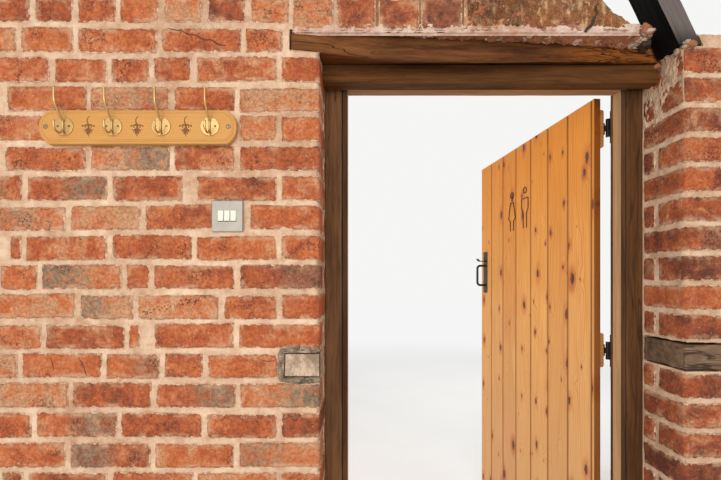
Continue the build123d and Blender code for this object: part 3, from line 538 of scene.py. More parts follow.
def pine_finish(name, look, door=False, turn=LEVEL, knots=True, pitch=0.010, depth=1.0, tint=False):
    """Varnished pine: rings that bend round dark knots, with a tone of its own for each board.
    Pitch is from ring to ring, depth how dark the rings are, and a tint makes it paler."""
    f = Finish(name)
    if door:
        turned, number, nearest, to_edge, height = closed_door_boards(f, look)
    else:
        turned = f.moved(f.position, turn=turn)
        number = 3.0
        nearest = 1.0
    hue = f.node("TexWhiteNoise", noise_dimensions="1D")
    f.feed(hue.inputs["W"], number)
    own = f.shifted(turned, number, (0.37, 1.31, 0.73))
    wander = f.clouds(f.moved(own, scale=(2.2, 2.2, 0.55)), 2.4, 3, 0.5)
    spots = f.node("TexVoronoi", voronoi_dimensions="2D")
    bent = f.shifted(own, f.clouds(own, 26, 3, 0.6), (0.016, 0.0, 0.030))
    flat = f.moved(bent, turn=(math.radians(-90), 0, 0))
    f.feed(spots.inputs["Vector"], f.moved(flat, scale=(11.5, 5.6, 1)))
    spots.inputs["Scale"].default_value = 1
    bulge = f.range(spots.outputs["Distance"], 0.02, 0.40, 1.0, 0.0)
    across = f.node("SeparateXYZ")
    f.feed(across.inputs[0], own)
    rings = f.maths("ADD", across.outputs["X"], f.maths("MULTIPLY", wander, 0.075))
    if knots:
        rings = f.maths("ADD", rings, f.maths("MULTIPLY", bulge, 0.018))
    wave = f.maths("SINE", f.maths("MULTIPLY", rings, 2 * math.pi / pitch))
    streak = f.clouds(f.moved(own, scale=(1, 1, 0.035)), 150, 4, 0.6)
    broad = f.clouds(f.moved(own, scale=(1, 1, 0.16)), 16, 3, 0.5)
    dark = f.range(wave, -0.2, 1.0, 0.0, 0.62)
    dark = f.maths("ADD", dark, f.range(streak, 0.3, 0.7, -0.22, 0.30))
    dark = f.maths("ADD", dark, f.range(broad, 0.3, 0.7, -0.25, 0.25), clamp=True)
    colour = f.mix(f.maths("MULTIPLY", dark, depth), look.pine, look.pine_ring)
    darker = f.range(hue.outputs["Value"], 0.0, 0.5, 0.7, 0.0)
    colour = f.mix(darker, colour, (0.90, 0.80, 0.62), blend="MULTIPLY")
    lighter = f.range(hue.outputs["Value"], 0.5, 1.0, 0.0, 0.7)
    colour = f.mix(lighter, colour, (1.10, 1.08, 0.90), blend="MULTIPLY")
    colour = f.mix(f.range(broad, 0.55, 0.75, 0.0, 0.4), colour, (0.72, 0.36, 0.13))
    if tint:
        colour = f.mix(1.0, colour, (1.02, 1.14, 1.0), blend="MULTIPLY")
    if door:
        colour = f.mix(1.0, colour, (1.08, 1.20, 1.04), blend="MULTIPLY")
        colour = f.mix(f.range(height, 0.3, 1.2, 0.45, 0.0), colour, (0.50, 0.275, 0.130))
        warm = f.mix(f.maths("MULTIPLY", dark, 0.8), (0.56, 0.185, 0.001), (0.42, 0.115, 0.0))
        colour = f.mix(f.range(height, 0.9, 1.85, 0.0, 0.85), colour, warm)
    relief = f.bump(wave, 0.12, 0.0006)
    if knots:
        colour, relief = knotted(f, look, spots, streak, colour, relief)
    if door:
        # Darker towards each V joint: dirt in the grooves, and painted shade in them.
        colour = f.mix(f.range(nearest, 0.002, 0.012, 0.42, 0.0), colour, (0.30, 0.078, 0.010))
        colour = f.mix(f.range(nearest, 0.001, 0.0042, 0.85, 0.0), colour, (0.12, 0.030, 0.005))
        colour = f.mix(f.range(to_edge, 0.0006, 0.0030, 0.75, 0.0), colour, (0.16, 0.036, 0.006))
    f.surface.inputs["Specular IOR Level"].default_value = 0.22
    f.surface.inputs["Coat Weight"].default_value = 0.05
    f.surface.inputs["Coat Roughness"].default_value = 0.25
    return f.done(colour, f.range(streak, 0.3, 0.7, 0.42, 0.56), relief)


def knotted(f, look, spots, streak, colour, relief):
    """Knots of many sizes, dark at heart with a red halo, laid over a colour and a relief."""
    chance = f.node("SeparateColor")
    f.feed(chance.inputs[0], spots.outputs["Color"])
    size = f.range(f.maths("POWER", chance.outputs[0], 1.6), 0.02, 1.0, 0.012, 0.150)
    ring = f.maths("DIVIDE", spots.outputs["Distance"], size)
    strength = f.range(chance.outputs[1], 0.0, 1.0, 0.45, 0.9)
    halo = f.maths("MULTIPLY", f.range(ring, 0.9, 2.8, 1.0, 0.0), strength)
    colour = f.mix(halo, colour, (0.36, 0.088, 0.014))
    heart = f.mix(f.range(streak, 0.35, 0.6, 0.0, 0.6), look.knot, (0.16, 0.050, 0.016))
    colour = f.mix(f.range(ring, 0.62, 1.0, 1.0, 0.0), colour, heart)
    return colour, f.bump(f.range(ring, 0.6, 1.1), 0.3, 0.001, relief)


def closed_door_boards(f, look):
    """A point on the closed door, its board's number, how far it is from the nearest V joint and
    from the hinge edge, and its height."""
    turned = f.moved(f.position, turn=(0, 0, OPEN_ANGLE), place=TO_CLOSED.translation)
    parts = f.node("SeparateXYZ")
    f.feed(parts.inputs[0], turned)
    hinge_edge = closed_box("door_boards")[1].x
    from_joint = f.maths("SUBTRACT", hinge_edge - look.first_joint, parts.outputs["X"])
    boards = f.maths("DIVIDE", from_joint, look.board_pitch)
    number = f.maths("FLOOR", boards)
    share = f.maths("PINGPONG", f.maths("ADD", boards, 8.0), 0.5)
    to_edge = f.maths("SUBTRACT", hinge_edge, parts.outputs["X"])
    return turned, number, f.maths("MULTIPLY", share, look.board_pitch), to_edge, parts.outputs["Z"]


def iron_finish(look):
    """Black japanned iron with a slight hammered skin and rubbed high spots."""
    f = Finish("black_iron")
    dents = f.clouds(f.position, 120, 3)
    rub = f.range(f.clouds(f.position, 38, 5, 0.7), 0.55, 0.72, 0.0, 0.35)
    colour = f.mix(rub, look.iron, (0.075, 0.062, 0.052))
    f.surface.inputs["Metallic"].default_value = 0.55
    return f.done(colour, f.range(dents, 0.3, 0.7, 0.34, 0.52), f.bump(dents, 0.35, 0.0008))


def brass_finish(name, colour, dull):
    """Lacquered brass, a little duller in its hollows."""
    f = Finish(name)
    tarnish = f.range(f.clouds(f.position, 55, 4, 0.6), 0.45, 0.75, 0.0, 0.5)
    colour = f.mix(tarnish, colour, dull)
    f.surface.inputs["Metallic"].default_value = 1.0
    return f.done(colour, f.range(f.clouds(f.position, 130, 3), 0.3, 0.7, 0.32, 0.46))


def steel_finish(look):
    """Satin steel with fine brushing from side to side."""
    f = Finish("brushed_steel")
    lines = f.clouds(f.moved(f.position, scale=(0.02, 1, 1)), 2400, 2, 0.6)
    haze = f.range(f.clouds(f.position, 30, 3), 0.3, 0.7)
    colour = f.mix(haze, look.steel, [value * 1.12 for value in look.steel])
    f.surface.inputs["Metallic"].default_value = 0.45
    return f.done(colour, f.range(lines, 0.3, 0.7, 0.50, 0.62), f.bump(lines, 0.1, 0.0002))


def plastic_finish():
    """White moulded plastic with the faintest mottle."""
    f = Finish("white_plastic")
    haze = f.range(f.clouds(f.position, 60, 3), 0.3, 0.7)
    colour = f.mix(haze, (0.72, 0.68, 0.56), (0.76, 0.725, 0.61))
    f.surface.inputs["Specular IOR Level"].default_value = 0.3
    return f.done(colour, f.range(haze, 0.0, 1.0, 0.45, 0.52))


def scorched_finish(name, dark, light):
    """A dull line that varies between two colours."""
    f = Finish(name)
    char = f.range(f.clouds(f.position, 260, 4), 0.3, 0.7)
    return f.done(f.mix(char, dark, light), 0.85)


def tarred_finish(turn):
    """Black stained timber, its front face greyed partly by dust and partly by a painted sheen,
    both thinning out towards its foot.
    """
    f = Finish("black_timber")
    f.surface.inputs["Specular IOR Level"].default_value = 0.1
    place = f.moved(f.position, turn=turn)
    lines = f.clouds(f.moved(place, scale=(0.05, 1, 1)), 90, 5, 0.6)
    colour = f.mix(f.range(lines, 0.3, 0.7), (0.0006, 0.0005, 0.0004), (0.003, 0.0024, 0.002))
    facing = f.node("SeparateXYZ")
    f.feed(facing.inputs[0], f.node("TexCoord").outputs["Normal"])
    height = f.node("SeparateXYZ")
    f.feed(height.inputs[0], f.position)
    # Dust and painted sheen: the face that looks to the front is painted grey, lighter near the top
    # and fading to black towards the foot.
    front = f.range(facing.outputs["Y"], -0.9, -0.5, 1.0, 0.0)
    dust = f.maths("MULTIPLY", front, f.range(lines, 0.25, 0.6, 0.65, 1.0))
    dust = f.maths("MULTIPLY", dust, f.range(height.outputs["Z"], 1.84, 1.93, 0.05, 1.0))
    colour = f.mix(dust, colour, (0.145, 0.118, 0.104))
    return f.done(colour, 0.6, f.bump(lines, 0.4, 0.002))


def pad_finish():
    """A weathered end-grain pad, pale brown with grey bruises."""
    f = Finish("pad_timber")
    broad = f.clouds(f.position, 24, 5, 0.65)
    fine = f.clouds(f.moved(f.position, scale=(1, 1, 0.3)), 170, 4, 0.6)
    colour = f.mix(f.range(broad, 0.38, 0.62), (0.25, 0.165, 0.105), (0.55, 0.39, 0.27))
    bruise = f.range(f.clouds(f.position, 60, 5, 0.7), 0.55, 0.66, 0.0, 0.7)
    colour = f.mix(bruise, colour, (0.23, 0.17, 0.135))
    colour = f.mix(f.range(fine, 0.52, 0.72, 0.0, 0.6), colour, (0.17, 0.115, 0.08))
    return f.done(colour, 0.85, f.bump(fine, 0.5, 0.0015))


def cement_finish():
    """Grey cement round the pad block."""
    f = Finish("grey_cement")
    broad = f.clouds(f.position, 30, 5, 0.65)
    sand = f.clouds(f.position, 380, 2, 0.7)
    colour = f.mix(f.range(broad, 0.36, 0.64), (0.075, 0.049, 0.031), (0.28, 0.200, 0.130))
    chalk = f.range(f.clouds(f.position, 95, 5, 0.75), 0.54, 0.64, 0.0, 0.75)
    colour = f.mix(chalk, colour, (0.46, 0.37, 0.28))
    return f.done(colour, 0.92, f.bump(sand, 0.5, 0.001, f.bump(broad, 0.7, 0.004)))


def as_mesh(name, bm):
    """The mesh of a finished bmesh."""
    mesh = bpy.data.meshes.new(name)
    bm.to_mesh(mesh)
    bm.free()
    return mesh


def add_rounded(name, bm, material, body):
    """A finished bmesh as a piece whose faces are shaded smooth."""
    for face in bm.faces:
        face.smooth = True
    return add_piece(name, as_mesh(name, bm), material, body)


def add_piece(name, mesh, material, body):
    """A mesh as a piece that rides on a body, in a material slot of the shared library."""
    piece = bpy.data.objects.new(name, mesh)
    bpy.context.scene.collection.objects.link(piece)
    mesh.materials.clear()
    mesh.materials.append(material)
    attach(piece, body)
    return piece


def node_copy(node):
    """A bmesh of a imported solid, with its loose triangles joined into flat faces."""
    bm = bmesh.new()
    bm.from_mesh(NODES[node].data)
    bmesh.ops.remove_doubles(bm, verts=bm.verts, dist=SAME_POINT)
    bmesh.ops.dissolve_limit(bm, angle_limit=FLAT_ANGLE, verts=bm.verts, edges=bm.edges)
    return bm


def closed_box(node):
    """The lowest and highest corner of a door piece when the door is shut."""
    points = [TO_CLOSED @ vertex.co for vertex in NODES[node].data.vertices]
    low = Vector(min(point[axis] for point in points) for axis in range(3))
    high = Vector(max(point[axis] for point in points) for axis in range(3))
    return low, high


def dressed(node, material, body, edge=0.0006):
    """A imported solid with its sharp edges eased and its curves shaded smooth."""
    piece = add_rounded(f"{node}_dressed", node_copy(node), material, body)
    easing = piece.modifiers.new("Eased edges", "BEVEL")
    easing.width = edge
    easing.segments = 2
    easing.limit_method = "ANGLE"
    easing.angle_limit = EASED_ANGLE
    shading = piece.modifiers.new("Shading", "WEIGHTED_NORMAL")
    shading.keep_sharp = True
    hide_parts(node)
    return piece


def cut_evenly(bm, step):
    """Cut a mesh by even planes square to each axis, the longest way first."""
    spans = []
    for axis in range(3):
        places = [vertex.co[axis] for vertex in bm.verts]
        count = max(round((max(places) - min(places)) / step[axis]), 1)
        spans.append((count, axis, min(places), max(places)))
    for count, axis, low, high in sorted(spans, reverse=True):
        normal = Vector(float(axis == other) for other in range(3))
        for number in range(1, count):
            place = normal * (low + (high - low) * number / count)
            parts = bm.verts[:] + bm.edges[:] + bm.faces[:]
            bmesh.ops.bisect_plane(
                bm, geom=parts, dist=SAME_POINT, plane_co=place, plane_no=normal,
            )


def dent(bm, depth, coarse, grain=(1, 1, 1), inset=0.0, spare=None, arris=None):
    """Push a mesh's skin inwards by lumps that are drawn out along the grain."""
    bm.normal_update()
    stretch = Vector(grain)
    skin = [(vertex, vertex.co.copy(), vertex.normal.copy()) for vertex in bm.verts]
    for vertex, point, normal in skin:
        if spare is not None and spare(point):
            continue
        place = point * stretch
        broad = noise.noise(place * coarse)
        fine = noise.noise(place * coarse * 3.3)
        sunk = inset + depth * max(0.5 + 0.55 * broad + 0.3 * fine, 0.0)
        if arris is not None and arris(point):
            sunk += ARRIS_DEPTH
        vertex.co = point - normal * sunk


def hewn(node, name, material, slot, step, depth, coarse, edge=0.0, lean=0.0, **ways):
    """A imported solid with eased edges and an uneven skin, cut finely square to its own axes."""
    bm = node_copy(node)
    upright = Matrix.Rotation(lean, 3, "Y")
    bmesh.ops.rotate(bm, verts=bm.verts, matrix=upright)
    if edge:
        outer = [line for line in bm.edges if line.is_manifold and line.is_convex]
        sharp = [line for line in outer if line.calc_face_angle() > EDGE_ANGLE]
        bmesh.ops.bevel(
            bm, geom=sharp, offset=edge, segments=2, profile=0.5, material=-1, affect="EDGES",
            clamp_overlap=True,
        )
    cut_evenly(bm, step)
    dent(bm, depth, coarse, **ways)
    bmesh.ops.rotate(bm, verts=bm.verts, matrix=upright.inverted())
    piece = add_rounded(name, bm, material, "wall")
    piece.data.set_sharp_from_angle(angle=SHARP_ANGLE)
    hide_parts(node)
    return piece


def unit_brick(cuts):
    """A cube with rows of faces along each axis, and layers for what its finish reads."""
    bm = bmesh.new()
    bmesh.ops.create_cube(bm, size=1)
    for axis, count in enumerate(cuts):
        whole = []
        for line in bm.edges:
            one, other = line.verts
            if abs(one.co[axis] - other.co[axis]) > 0.5:
                whole.append(line)
        bmesh.ops.subdivide_edges(bm, edges=whole, cuts=count, use_grid_fill=True)
    for layer in ("tone", "flash", "edge"):
        bm.verts.layers.float.new(layer)
    return as_mesh("unit_brick", bm)


def eased(share, pull=0.45):
    """Draw a row of a grid towards the nearer edge."""
    return (1 - pull) * share + pull * math.sin(share * math.pi / 2)


def worn_corner(point, half, wear, key):
    """Wear a point on a box's skin: edges go round and faces wander."""
    chip = max(noise.noise(point * 14 + key) - 0.12, 0.0)
    radius = wear * (0.65 + 0.6 * abs(noise.noise(point * 50 - key)) + 2.6 * chip)
    radius = min(radius, *half)
    inner = Vector(max(radius - h, min(h - radius, c)) for c, h in zip(point, half))
    out = point - inner
    reach = out.length
    if reach < 1e-7:
        return point
    lump = 0.0011 * noise.noise(point * 26 + key) + 0.0006 * noise.noise(point * 75 - key)
    return inner + out * ((radius + lump) / reach)


def edge_distance(point, half, bare):
    """How far a point on a brick's skin is from the nearest edge that has mortar beside it."""
    x, y, z = (h - abs(c) for c, h in zip(point, half))
    if point.x * bare > 0 and point.y < 0:
        return min(max(x, z), max(y, z))
    return sorted((x, y, z))[1]


class Bricklayer:
    """Lays single worn bricks and joins them into one piece."""

    cell = 0.0145
    plum_below = 0.05
    pale_below = 0.24
    grey_end_share = 0.16
    tilt = 0.5
    over_joint = (0.0030, 0.0026)

    def __init__(self, look, seed, darker=0.0):
        self.look = look
        self.darker = darker
        self.chance = random.Random(seed)
        self.units = {}
        self.meshes = []

    def unit(self, size):
        """A cube with as many faces as a brick of this size needs, made once."""
        cuts = tuple(max(round(length / self.cell) - 1, 2) for length in size)
        if cuts not in self.units:
            self.units[cuts] = unit_brick(cuts)
        return self.units[cuts]

    def tone(self):
        """Mostly red and orange, now and then plum or pale."""
        return max(self.any_tone() - self.darker, 0.05)

    def any_tone(self):
        """Where on the row of brick colours a brick stands."""
        pick = self.chance.random()
        if pick < self.plum_below:
            return self.chance.uniform(0.20, 0.34)
        if pick < self.pale_below:
            return self.chance.uniform(0.82, 0.98)
        return min(max(self.chance.gauss(0.58, 0.11), 0.32), 0.80)

    def lay(self, low, high, burnt=False, bare=0, limit=None, hole=None, sooty=None, foot=None):
        """One brick between two corners. Bare gives the side of a corner that has no lime on it,
        a limit the greatest x at a height, hole where the brick is cut away, sooty how brown it is,
        and foot the height at which bricks over the lintel start."""
        chance = self.chance
        low = Vector(low)
        high = Vector(high)
        if foot is not None and low.x > LINTEL_LOW.x:
            low.z = foot
            low.x -= self.over_joint[0]
            high.x += self.over_joint[1]
        centre = (low + high) / 2
        half = (high - low) / 2
        tone = self.tone()
        flash_side = chance.choice((-1, 1))
        flash = 1.0 if burnt else (0.55 if chance.random() < self.grey_end_share else 0.0)
        soot = 0.0
        if sooty is not None:
            soot = sooty(centre)
            tone = tone * (1 - 0.55 * soot)
        key = Vector((chance.uniform(0, 40), chance.uniform(0, 40), chance.uniform(0, 40)))
        tilt = Matrix.Rotation(math.radians(chance.gauss(0, self.tilt)), 3, "Y")
        bm = bmesh.new()
        bm.from_mesh(self.unit(high - low))
        layers = bm.verts.layers.float
        tone_layer, flash_layer, edge_layer = layers["tone"], layers["flash"], layers["edge"]
        for vertex in bm.verts:
            share = Vector(eased(2 * c) for c in vertex.co)
            point = Vector(s * h for s, h in zip(share, half))
            towards_end = min(max(0.55 + 1.6 * flash_side * share.x, 0.0), 1.0)
            vertex[tone_layer] = tone
            vertex[flash_layer] = flash * towards_end + 0.45 * soot
            vertex[edge_layer] = edge_distance(point, half, bare)
            point = centre + tilt @ worn_corner(point, half, self.look.wear, key)
            if limit is not None:
                point.x = min(point.x, limit(point.z))
            if hole is not None and hole(point):
                point.y = max(point.y, SWITCH_BOX_BACK + 0.002)
            vertex.co = point
        self.meshes.append(as_mesh("brick", bm))

    def joined(self, name, material):
        """All the bricks laid so far as one piece of the wall."""
        pieces = [bpy.data.objects.new("brick", mesh) for mesh in self.meshes]
        for piece in pieces:
            bpy.context.scene.collection.objects.link(piece)
        with bpy.context.temp_override(
            active_object=pieces[0], object=pieces[0],
            selected_objects=pieces, selected_editable_objects=pieces,
        ):
            bpy.ops.object.join()
        piece = pieces[0]
        piece.name = name
        piece.data.name = name
        for polygon in piece.data.polygons:
            polygon.use_smooth = True
        piece.data.materials.append(material)
        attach(piece, "wall")
        self.meshes = []
        return piece


def behind_switch(point):
    """True for a point that the switch plate covers, a little inside its edges."""
    margin = 0.004
    inside_x = SWITCH_LOW.x + margin < point.x < SWITCH_HIGH.x - margin
    inside_z = SWITCH_LOW.z + margin < point.z < SWITCH_HIGH.z - margin
    return inside_x and inside_z


def course_heights(look, number, lift=0.0):
    """The foot and top of the bricks in a course."""
    foot = lift + number * look.course + look.joint / 2
    return foot, foot + look.course - look.joint


def lay_run(layer, look, bond, start, end, step, depth, heights, corner=False, **options):
    """Lay one course from start towards end. Step is 1 to the right and -1 to the left, and corner
    says that the first brick shows its end at a jamb."""
    at = start
    near_end = 0.02
    shortest = 0.03
    low_y, high_y = depth
    for letter in bond:
        if letter == ".":
            at += step * WIDE_MORTAR
            continue
        length = BRICK_LENGTHS[letter.upper()] + layer.chance.uniform(-0.003, 0.003)
        far = at + step * length
        if step * (end - far) < near_end:
            far = end
        if step * (far - at) > shortest:
            rise = layer.chance.uniform(-0.0022, 0.0022)
            inset = BRICK_INSET + layer.chance.uniform(0, 0.0012)
            top = heights[1] + rise + layer.chance.uniform(-0.003, 0.002)
            layer.lay(
                (min(at, far), low_y + inset, heights[0] + rise),
                (max(at, far), high_y - inset, top),
                burnt=letter.islower(), bare=-step if corner and at == start else 0, **options,
            )
        at = far + step * (look.joint + layer.chance.uniform(-0.002, 0.003))
        if step * (end - at) < near_end:
            break


def jamb_arris(point):
    """True on the upright front corner of a jamb, where bricks show and mortar hides."""
    return point.y < WALL_FRONT + TOUCHING and abs(abs(point.x) - PIER_LOW.x) < TOUCHING


def beside_frame(point):
    """True where a jamb meets the door frame, so that no light gets past the posts."""
    deep = POST_FRONT - TOUCHING < point.y < WALL_BACK - TOUCHING
    return deep and abs(abs(point.x) - PIER_LOW.x) < TOUCHING


def against_left_wall(point):
    """True inside the joint where the wall over the door meets the wall on the left."""
    within = 0.012
    deep = WALL_FRONT + within < point.y < WALL_BACK - within
    return deep and abs(point.x - LEFT_JAMB) < TOUCHING


class WALLBAY_OT_left_wall(bpy.types.Operator):
    """Lay the wall on the left, two leaves thick, round the lintel's end, pad and switch"""

    bl_idname = "wall_bay.left_wall"
    bl_label = "Left wall"

    def execute(self, context):
        look = context.scene.doorway.brickwork
        layer = Bricklayer(look, 11)
        jamb = LEFT_JAMB - 0.0015
        end = WALL_LOW.x + 0.002
        beside_lintel, beside_pad = 0.022, 0.018
        front = (WALL_FRONT, WALL_FRONT + look.leaf)
        back = (WALL_BACK - look.leaf, WALL_BACK)
        for number, bond in enumerate(LEFT_BOND):
            heights = course_heights(look, number)
            start = jamb
            if heights[1] > LINTEL_LOW.z + 0.02:
                start = LINTEL_LOW.x - beside_lintel
            elif heights[0] < PAD_LEFT_HIGH.z and heights[1] > PAD_LEFT_LOW.z:
                start = PAD_LEFT_LOW.x - beside_pad
            quoin = bond[0].upper() == "H" and start == jamb
            if quoin:
                header = jamb - BRICK_LENGTHS["H"]
                layer.lay(
                    (header, WALL_FRONT + BRICK_INSET, heights[0]),
                    (jamb, WALL_BACK - BRICK_INSET, heights[1]), bare=1,
                )
                start = header - look.joint
            lay_run(
                layer, look, bond[1:] if quoin else bond, start, end, -1, front, heights,
                corner=start == jamb, hole=behind_switch,
            )
            back_bond = BACK_BOND[(number + quoin) % 2]
            back_start = start if quoin else jamb
            lay_run(layer, look, back_bond, back_start, end, -1, back, heights)
        layer.joined("bricks_left", MATERIALS["brick"])
        self.scars(layer.chance)
        hewn(
            "wall_left", "mortar_left", MATERIALS["mortar"], "brick", step=(0.0115, 0.016, 0.0105),
            depth=0.0040, coarse=42, inset=MORTAR_INSET, spare=beside_frame, arris=jamb_arris,
        )
        return {"FINISHED"}

    def scars(self, chance):
        """Hairline cracks and pits on the front of the wall."""
        face = Vector((0, FACE_LEVEL, 0))
        drawn_lines("brick_scars", scar_strokes(chance), face, MATERIALS["scar"])


def scar_strokes(chance):
    """Cracks in four bricks and a slanting row of pits in a fifth, as x, height and width."""
    strokes = [
        (
            (-938, 1907, 0.3), (-921, 1902, 0.7), (-903, 1900, 0.6), (-880, 1889, 1.1),
            (-862, 1887, 0.8), (-838, 1875, 1.3), (-817, 1873, 1.1), (-796, 1861, 1.5),
            (-775, 1857, 0.5),
        ),
        (
            (-1190, 984, 0.3), (-1180, 968, 0.8), (-1174, 957, 0.6), (-1170, 944, 1.0),
            (-1166, 931, 0.4),
        ),
        ((-1267, 984, 0.3), (-1262, 966, 0.7), (-1257, 946, 0.3)),
        ((-690, 982, 0.3), (-655, 972, 0.7), (-640, 975, 0.4)),
    ]
    pits = 64
    for _ in range(pits):
        share = chance.random() ** 0.8
        x = -1010 + 185 * share + chance.uniform(-6, 6)
        z = 1108 + 46 * share + chance.gauss(0, 4)
        length = chance.uniform(1.5, 5)
        far = (x + length, z + chance.uniform(-2, 2), chance.uniform(0.8, 1.7))
        strokes.append(((x, z, 0.6), far))
    return strokes


def rake_at(height):
    """Where the raking end of the wall over the door stands at a height."""
    share = (height - UPPER_LOW.z) / (UPPER_HIGH.z - UPPER_LOW.z)
    return UPPER_HIGH.x + share * (RAKE_HEAD - UPPER_HIGH.x)


def over_lintel(point):
    """How brown the bricks are: clean on the left, stained towards the rake."""
    return min(max((point.x - LEFT_JAMB) / 0.8, 0.0), 1.0)


class WALLBAY_OT_upper_wall(bpy.types.Operator):
    """Lay the courses above the lintel out to the rake, in one run with the wall on the left"""

    bl_idname = "wall_bay.upper_wall"
    bl_label = "Wall over the door"

    def execute(self, context):
        look = context.scene.doorway.brickwork
        layer = Bricklayer(look, 23, darker=0.06)
        first = len(LEFT_BOND)
        start = WALL_LOW.x + 0.002
        from_rake = 0.02
        rough_end = 0.10
        for number, bond in enumerate(UPPER_BOND, start=first):
            heights = course_heights(look, number)
            end = rake_at(heights[0]) - (rough_end if number == first else from_rake)

            def limit(height, end=end):
                return min(end, rake_at(height) - from_rake)

            front = (WALL_FRONT, WALL_FRONT + look.leaf)
            back = (WALL_BACK - look.leaf, WALL_BACK)
            foot = UPPER_LOW.z + 0.003 if number == first else None
            lay_run(
                layer, look, bond, start, end, 1, front, heights, limit=limit, sooty=over_lintel,
                foot=foot,
            )
            back_bond = BACK_BOND[number % 2] + "SS"
            lay_run(layer, look, back_bond, start, end, 1, back, heights, limit=limit)
        layer.joined("bricks_upper", MATERIALS["brick"])
        hewn(
            "wall_over_door", "mortar_over_door", MATERIALS["brown_mortar"], "brick",
            step=(0.008, 0.012, 0.008), depth=0.0062, coarse=42, inset=MORTAR_INSET,
            spare=against_left_wall,
        )
        return {"FINISHED"}


class WALLBAY_OT_pier(bpy.types.Operator):
    """Lay the pier on the right, with alternate courses bonded through its reveal"""

    bl_idname = "wall_bay.pier"
    bl_label = "Right pier"

    def execute(self, context):
        look = context.scene.doorway.brickwork
        layer = Bricklayer(look, 37, darker=0.32)
        jamb = PIER_LOW.x + 0.0015
        end = PIER_HIGH.x - 0.002
        front = WALL_FRONT + BRICK_INSET
        rear = WALL_BACK - BRICK_INSET
        count = int((PIER_SHELF - look.pier_lift) / look.course)
        for number in range(count):
            low_z, high_z = course_heights(look, number, look.pier_lift)
            if low_z < PAD_RIGHT_HIGH.z and high_z > PAD_RIGHT_LOW.z:
                after_pad = PAD_RIGHT_HIGH.x + look.joint
                layer.lay((after_pad, front, low_z), (end, rear, high_z))
            elif PIER_BOND[number % 2] == "HH":
                header = jamb + BRICK_LENGTHS["H"]
                layer.lay((jamb, front, low_z), (header, rear, high_z), bare=-1)
                layer.lay((header + look.joint, front, low_z), (end, rear, high_z))
            else:
                middle = WALL_FRONT + look.leaf
                layer.lay((jamb, front, low_z), (end, middle - BRICK_INSET, high_z), bare=-1)
                middle += look.joint
                layer.lay((jamb, middle + BRICK_INSET, low_z), (end, rear, high_z))
        layer.joined("bricks_right", MATERIALS["brick"])
        hewn(
            "wall_right", "mortar_right", MATERIALS["mortar"], "brick", step=(0.009, 0.010, 0.009),
            depth=0.0042, coarse=42, inset=MORTAR_INSET, spare=beside_frame, arris=jamb_arris,
        )
        return {"FINISHED"}


def collar(name, low, high, margin, rise, material):
    """A rounded collar of cement bedded round the face of a block. Each ring has the share of the
    margin that it reaches out to, and how deep it lies."""
    profile = (
        (1.0, 0.012), (1.0, 0.003), (0.72, rise), (0.40, 0.0012), (0.06, 0.006), (0.0, 0.018),
    )
    bm = bmesh.new()
    centre = (low + high) / 2
    half = (high - low) / 2
    rings = []
    steps = 96
    for share, depth in profile:
        ring = []
        for number in range(steps):
            angle = 2 * math.pi * number / steps
            aim_out = Vector((math.cos(angle), 0, math.sin(angle)))
            square = aim_out / max(abs(aim_out.x), abs(aim_out.z))
            rounded = square.lerp(aim_out * 1.18, 0.55 * share)
            reach = Vector((half.x + margin.x * share, 0, half.z + margin.z * share))
            point = centre + Vector((rounded.x * reach.x, 0, rounded.z * reach.z))
            wobble = 0.0024 * noise.noise(point * 55) + 0.0022 * noise.noise(point * 140)
            point.x = min(max(point.x, low.x - margin.x), high.x)
            point += aim_out * (wobble * min(share * 3, 1.0))
            point.x = min(point.x, high.x - 0.001)
            point.y = low.y + depth + 0.0012 * noise.noise(point * 90)
            ring.append(bm.verts.new(point))
        rings.append(ring)
    for outer, inner in zip(rings, rings[1:]):
        for number in range(steps):
            after = (number + 1) % steps
            bm.faces.new((outer[number], outer[after], inner[after], inner[number]))
    bmesh.ops.recalc_face_normals(bm, faces=bm.faces)
    return add_rounded(name, bm, material, "wall")


class WALLBAY_OT_pads(bpy.types.Operator):
    """Set the pad blocks in both jambs, the left one in a collar of cement"""

    bl_idname = "wall_bay.pads"
    bl_label = "Pad blocks"

    def execute(self, context):
        hewn(
            "pad_block_left", "pad_left", MATERIALS["pad"], "pad_timber",
            step=(0.004, 0.008, 0.004), depth=0.0022, coarse=60, edge=0.003, inset=0.001,
        )
        hewn(
            "pad_block_right", "pad_right", MATERIALS["pad_dark"], "pad_timber",
            step=(0.005, 0.005, 0.004), depth=0.006, coarse=60, edge=0.003, grain=(0.3, 0.3, 1),
        )
        collar(
            "pad_collar", PAD_LEFT_LOW, PAD_LEFT_HIGH, Vector((0.020, 0, 0.0155)), 0.001,
            MATERIALS["cement"],
        )
        return {"FINISHED"}


class WALLBAY_OT_lintels(bpy.types.Operator):
    """Hew both lintels and the raking strut"""

    bl_idname = "wall_bay.lintels"
    bl_label = "Lintels and strut"

    def execute(self, context):
        hewn(
            "lintel_upper", "rough_lintel", MATERIALS["lintel"], "rough_oak",
            step=(0.010, 0.005, 0.004), depth=0.0050, coarse=34, edge=0.004, grain=(0.16, 1, 1),
        )
        hewn(
            "lintel_lower", "inner_lintel", MATERIALS["oak_level"], "stained_oak",
            step=(0.012, 0.005, 0.004), depth=0.0016, coarse=40, edge=0.003, grain=(0.12, 1, 1),
        )
        hewn(
            "raking_strut", "black_strut", MATERIALS["black_timber"], "black_timber",
            step=(0.005, 0.006, 0.010), depth=0.0022, coarse=40, edge=0.003, grain=(1, 1, 0.14),
            lean=STRUT_LEAN,
        )
        return {"FINISHED"}


